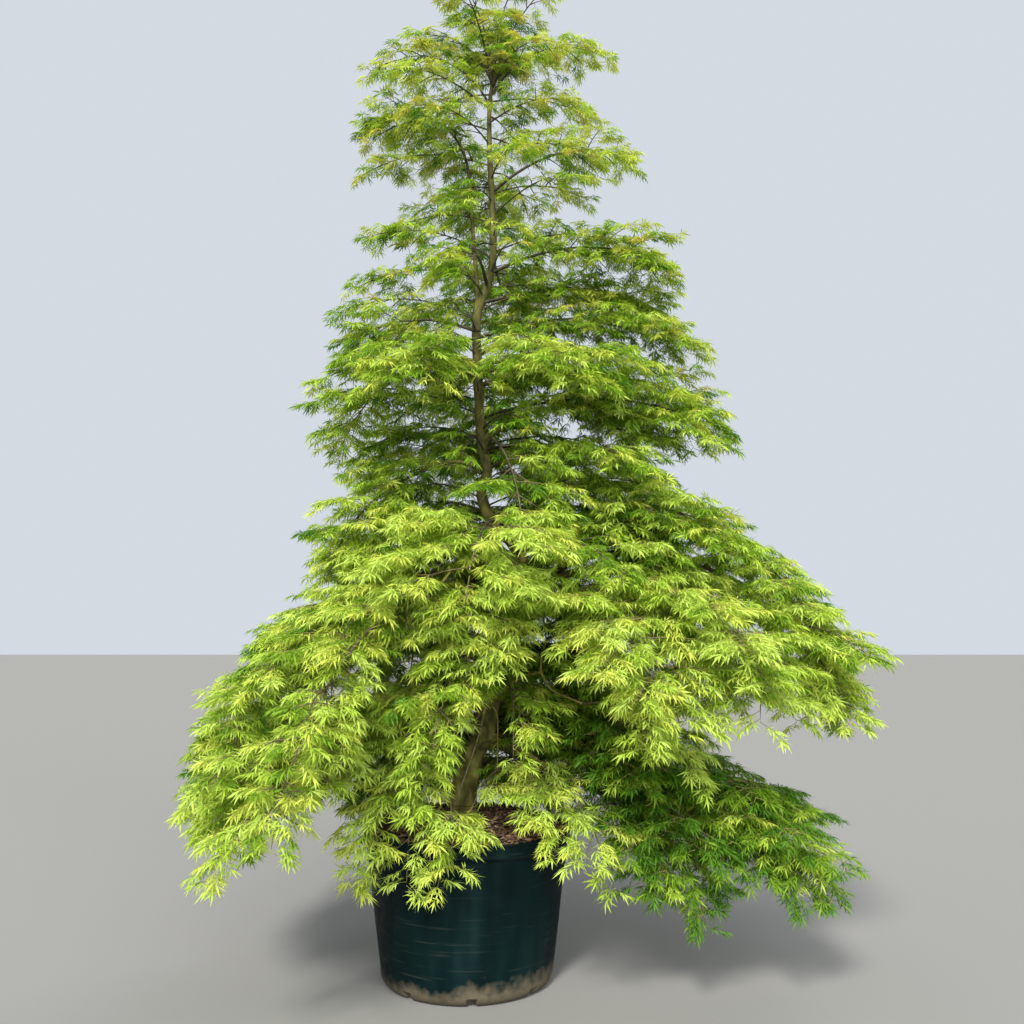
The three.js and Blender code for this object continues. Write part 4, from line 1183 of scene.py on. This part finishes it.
def with_drains(r, z, angle):
    """Pushes the wall in at each drainage notch, and lets the plastic wander by a hair."""
    off = np.abs((angle[..., None] - DRAIN_TURNS + math.pi) % (2 * math.pi) - math.pi).min(axis=-1)
    inside = (off * BASE_RADIUS < DRAIN_RADIUS) & (z < DRAIN_TOP) & (r > FOOT_RADIUS - 0.02)
    r = np.where(inside, np.minimum(r, FOOT_RADIUS - 0.012), r)
    wander = 0.0012 * np.sin(angle * 3 + 1) * np.sin(z * 9) + 0.0008 * np.sin(angle * 7 + z * 14)
    return r + wander * (z > FOOT_ROUND) * (z < BAND_FOOT), z


pot = mesh_object("nursery_pot", *lathe(outside, 360, with_drains), [pot_material()], smooth=True)
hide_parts("pot")

# The bark mulch: an uneven mound with loose chips on it

MULCH_BED = chip_material("mulch_bed", (0.018, 0.011, 0.007), (0.075, 0.045, 0.026))
CHIP_BROWN = chip_material("chip_brown", (0.06, 0.032, 0.018), (0.20, 0.11, 0.062))
CHIP_PALE = chip_material("chip_pale", (0.16, 0.095, 0.055), (0.42, 0.29, 0.19))
CHIP_DARK = chip_material("chip_dark", (0.022, 0.013, 0.009), (0.10, 0.055, 0.035))
CHIPS = 2200
CHIP_SPACE = (0.075, 0.414)


def mound(r):
    heights = [MULCH_CROWN, MULCH_CROWN - 0.006, 0.648, MULCH_EDGE]
    return np.interp(r, [0, MULCH_SHOULDER, 0.32, LIP - 0.002], heights)


def lumpy(r, z, angle):
    bumps = relief(lattice(20, 46, 5), np.clip(r / 0.03, 0, 18), angle / (2 * math.pi) * 46)
    return r, z + 0.006 * bumps * (r < 0.40)


vertices, faces = lathe([(r, mound(r) - 0.006) for r in np.linspace(0.002, LIP - 0.001, 44)], 180, lumpy)
bed = mesh_object("mulch_bed", vertices, faces[:, ::-1], [MULCH_BED], smooth=True)
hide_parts("compost")

chip_out = np.sqrt(rng.uniform(CHIP_SPACE[0]**2, CHIP_SPACE[1]**2, CHIPS))
chip_turn = rng.uniform(0, 2 * math.pi, CHIPS)
chip_middle = np.stack([chip_out * np.cos(chip_turn), chip_out * np.sin(chip_turn),
                        mound(chip_out) + rng.uniform(-0.003, 0.006, CHIPS)], -1)
chip_ahead = turned(rng.uniform(0, 2 * math.pi, CHIPS), np.radians(rng.normal(0, 14, CHIPS)))
chip_side = unit(across_of(chip_ahead) + np.array([0, 0, 1]) * rng.normal(0, 0.25, CHIPS)[:, None])
chip_up = unit(np.cross(chip_ahead, chip_side))
chip_size = np.stack([rng.uniform(0.010, 0.030, CHIPS), rng.uniform(0.004, 0.010, CHIPS),
                      rng.uniform(0.0012, 0.0035, CHIPS)], -1)
corner = np.array([(x, y, z) for x in (-1, 1) for y in (-1, 1) for z in (-1, 1)], float)
shape = corner[None] * rng.uniform(0.55, 1.1, (CHIPS, 8, 3)) * chip_size[:, None]
chip_points = chip_middle[:, None] + chip_ahead[:, None] * shape[..., :1]
chip_points = chip_points + chip_side[:, None] * shape[..., 1:2] + chip_up[:, None] * shape[..., 2:3]
BOX = np.array([(0, 1, 3), (0, 3, 2), (4, 6, 7), (4, 7, 5), (0, 4, 5), (0, 5, 1),
                (2, 3, 7), (2, 7, 6), (0, 2, 6), (0, 6, 4), (1, 5, 7), (1, 7, 3)])
chip_faces = (BOX[None] + (np.arange(CHIPS) * 8)[:, None, None]).reshape(-1, 3)
chip_colour = np.repeat(rng.choice(3, CHIPS, p=[0.5, 0.22, 0.28]), len(BOX))
mulch = mesh_object("mulch_chips", chip_points.reshape(-1, 3), chip_faces,
                    [CHIP_BROWN, CHIP_PALE, CHIP_DARK], material_index=chip_colour)
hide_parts("bark_mulch")

# The floor, the light and the camera

FLOOR_REACH = 40
floor_look = {"Base Color": (0.19, 0.19, 0.187, 1), "Roughness": 0.9, "Specular IOR Level": 0.0}
floor_corners = [(FLOOR_REACH * x, FLOOR_REACH * y, 0) for x, y in ((-1, -1), (1, -1), (1, 1), (-1, 1))]
floor_mesh = bpy.data.meshes.new("studio_floor")
floor_mesh.from_pydata(floor_corners, [], [(0, 1, 2, 3)])
floor_mesh.materials.append(Surface("studio_floor", floor_look).material)
floor = put("studio_floor", floor_mesh)

bpy.context.scene.view_settings.view_transform = "Standard"
world = bpy.data.worlds.new("studio")
bpy.context.scene.world = world
world.use_nodes = True
world.node_tree.nodes["Background"].inputs["Color"].default_value = (0.82, 0.88, 0.96, 1)
world.node_tree.nodes["Background"].inputs["Strength"].default_value = 0.8


def light(name, tilt, heading, width, strength, colour):
    """A soft distant light: its lean from straight above, where it comes from and its width, in degrees."""
    data = bpy.data.lights.new(name, "SUN")
    data.energy = strength
    data.angle = math.radians(width)
    data.color = colour
    put(name, data).rotation_euler = (math.radians(tilt), 0, math.radians(heading))


light("key", 52, -16, 12, 6.0, (1.0, 0.96, 0.88))
light("fill", 66, 16, 50, 3.6, (0.98, 0.98, 0.96))
light("rim", 50, 150, 30, 1.1, (1.0, 0.98, 0.92))

camera_data = bpy.data.cameras.new("camera")
camera_data.sensor_width = 36
camera_data.lens = 36
camera_data.clip_end = 200
camera = put("camera", camera_data)
camera.location = EYE
camera.rotation_euler = (math.radians(90 + LOOK_UP), 0, 0)
bpy.context.scene.camera = camera
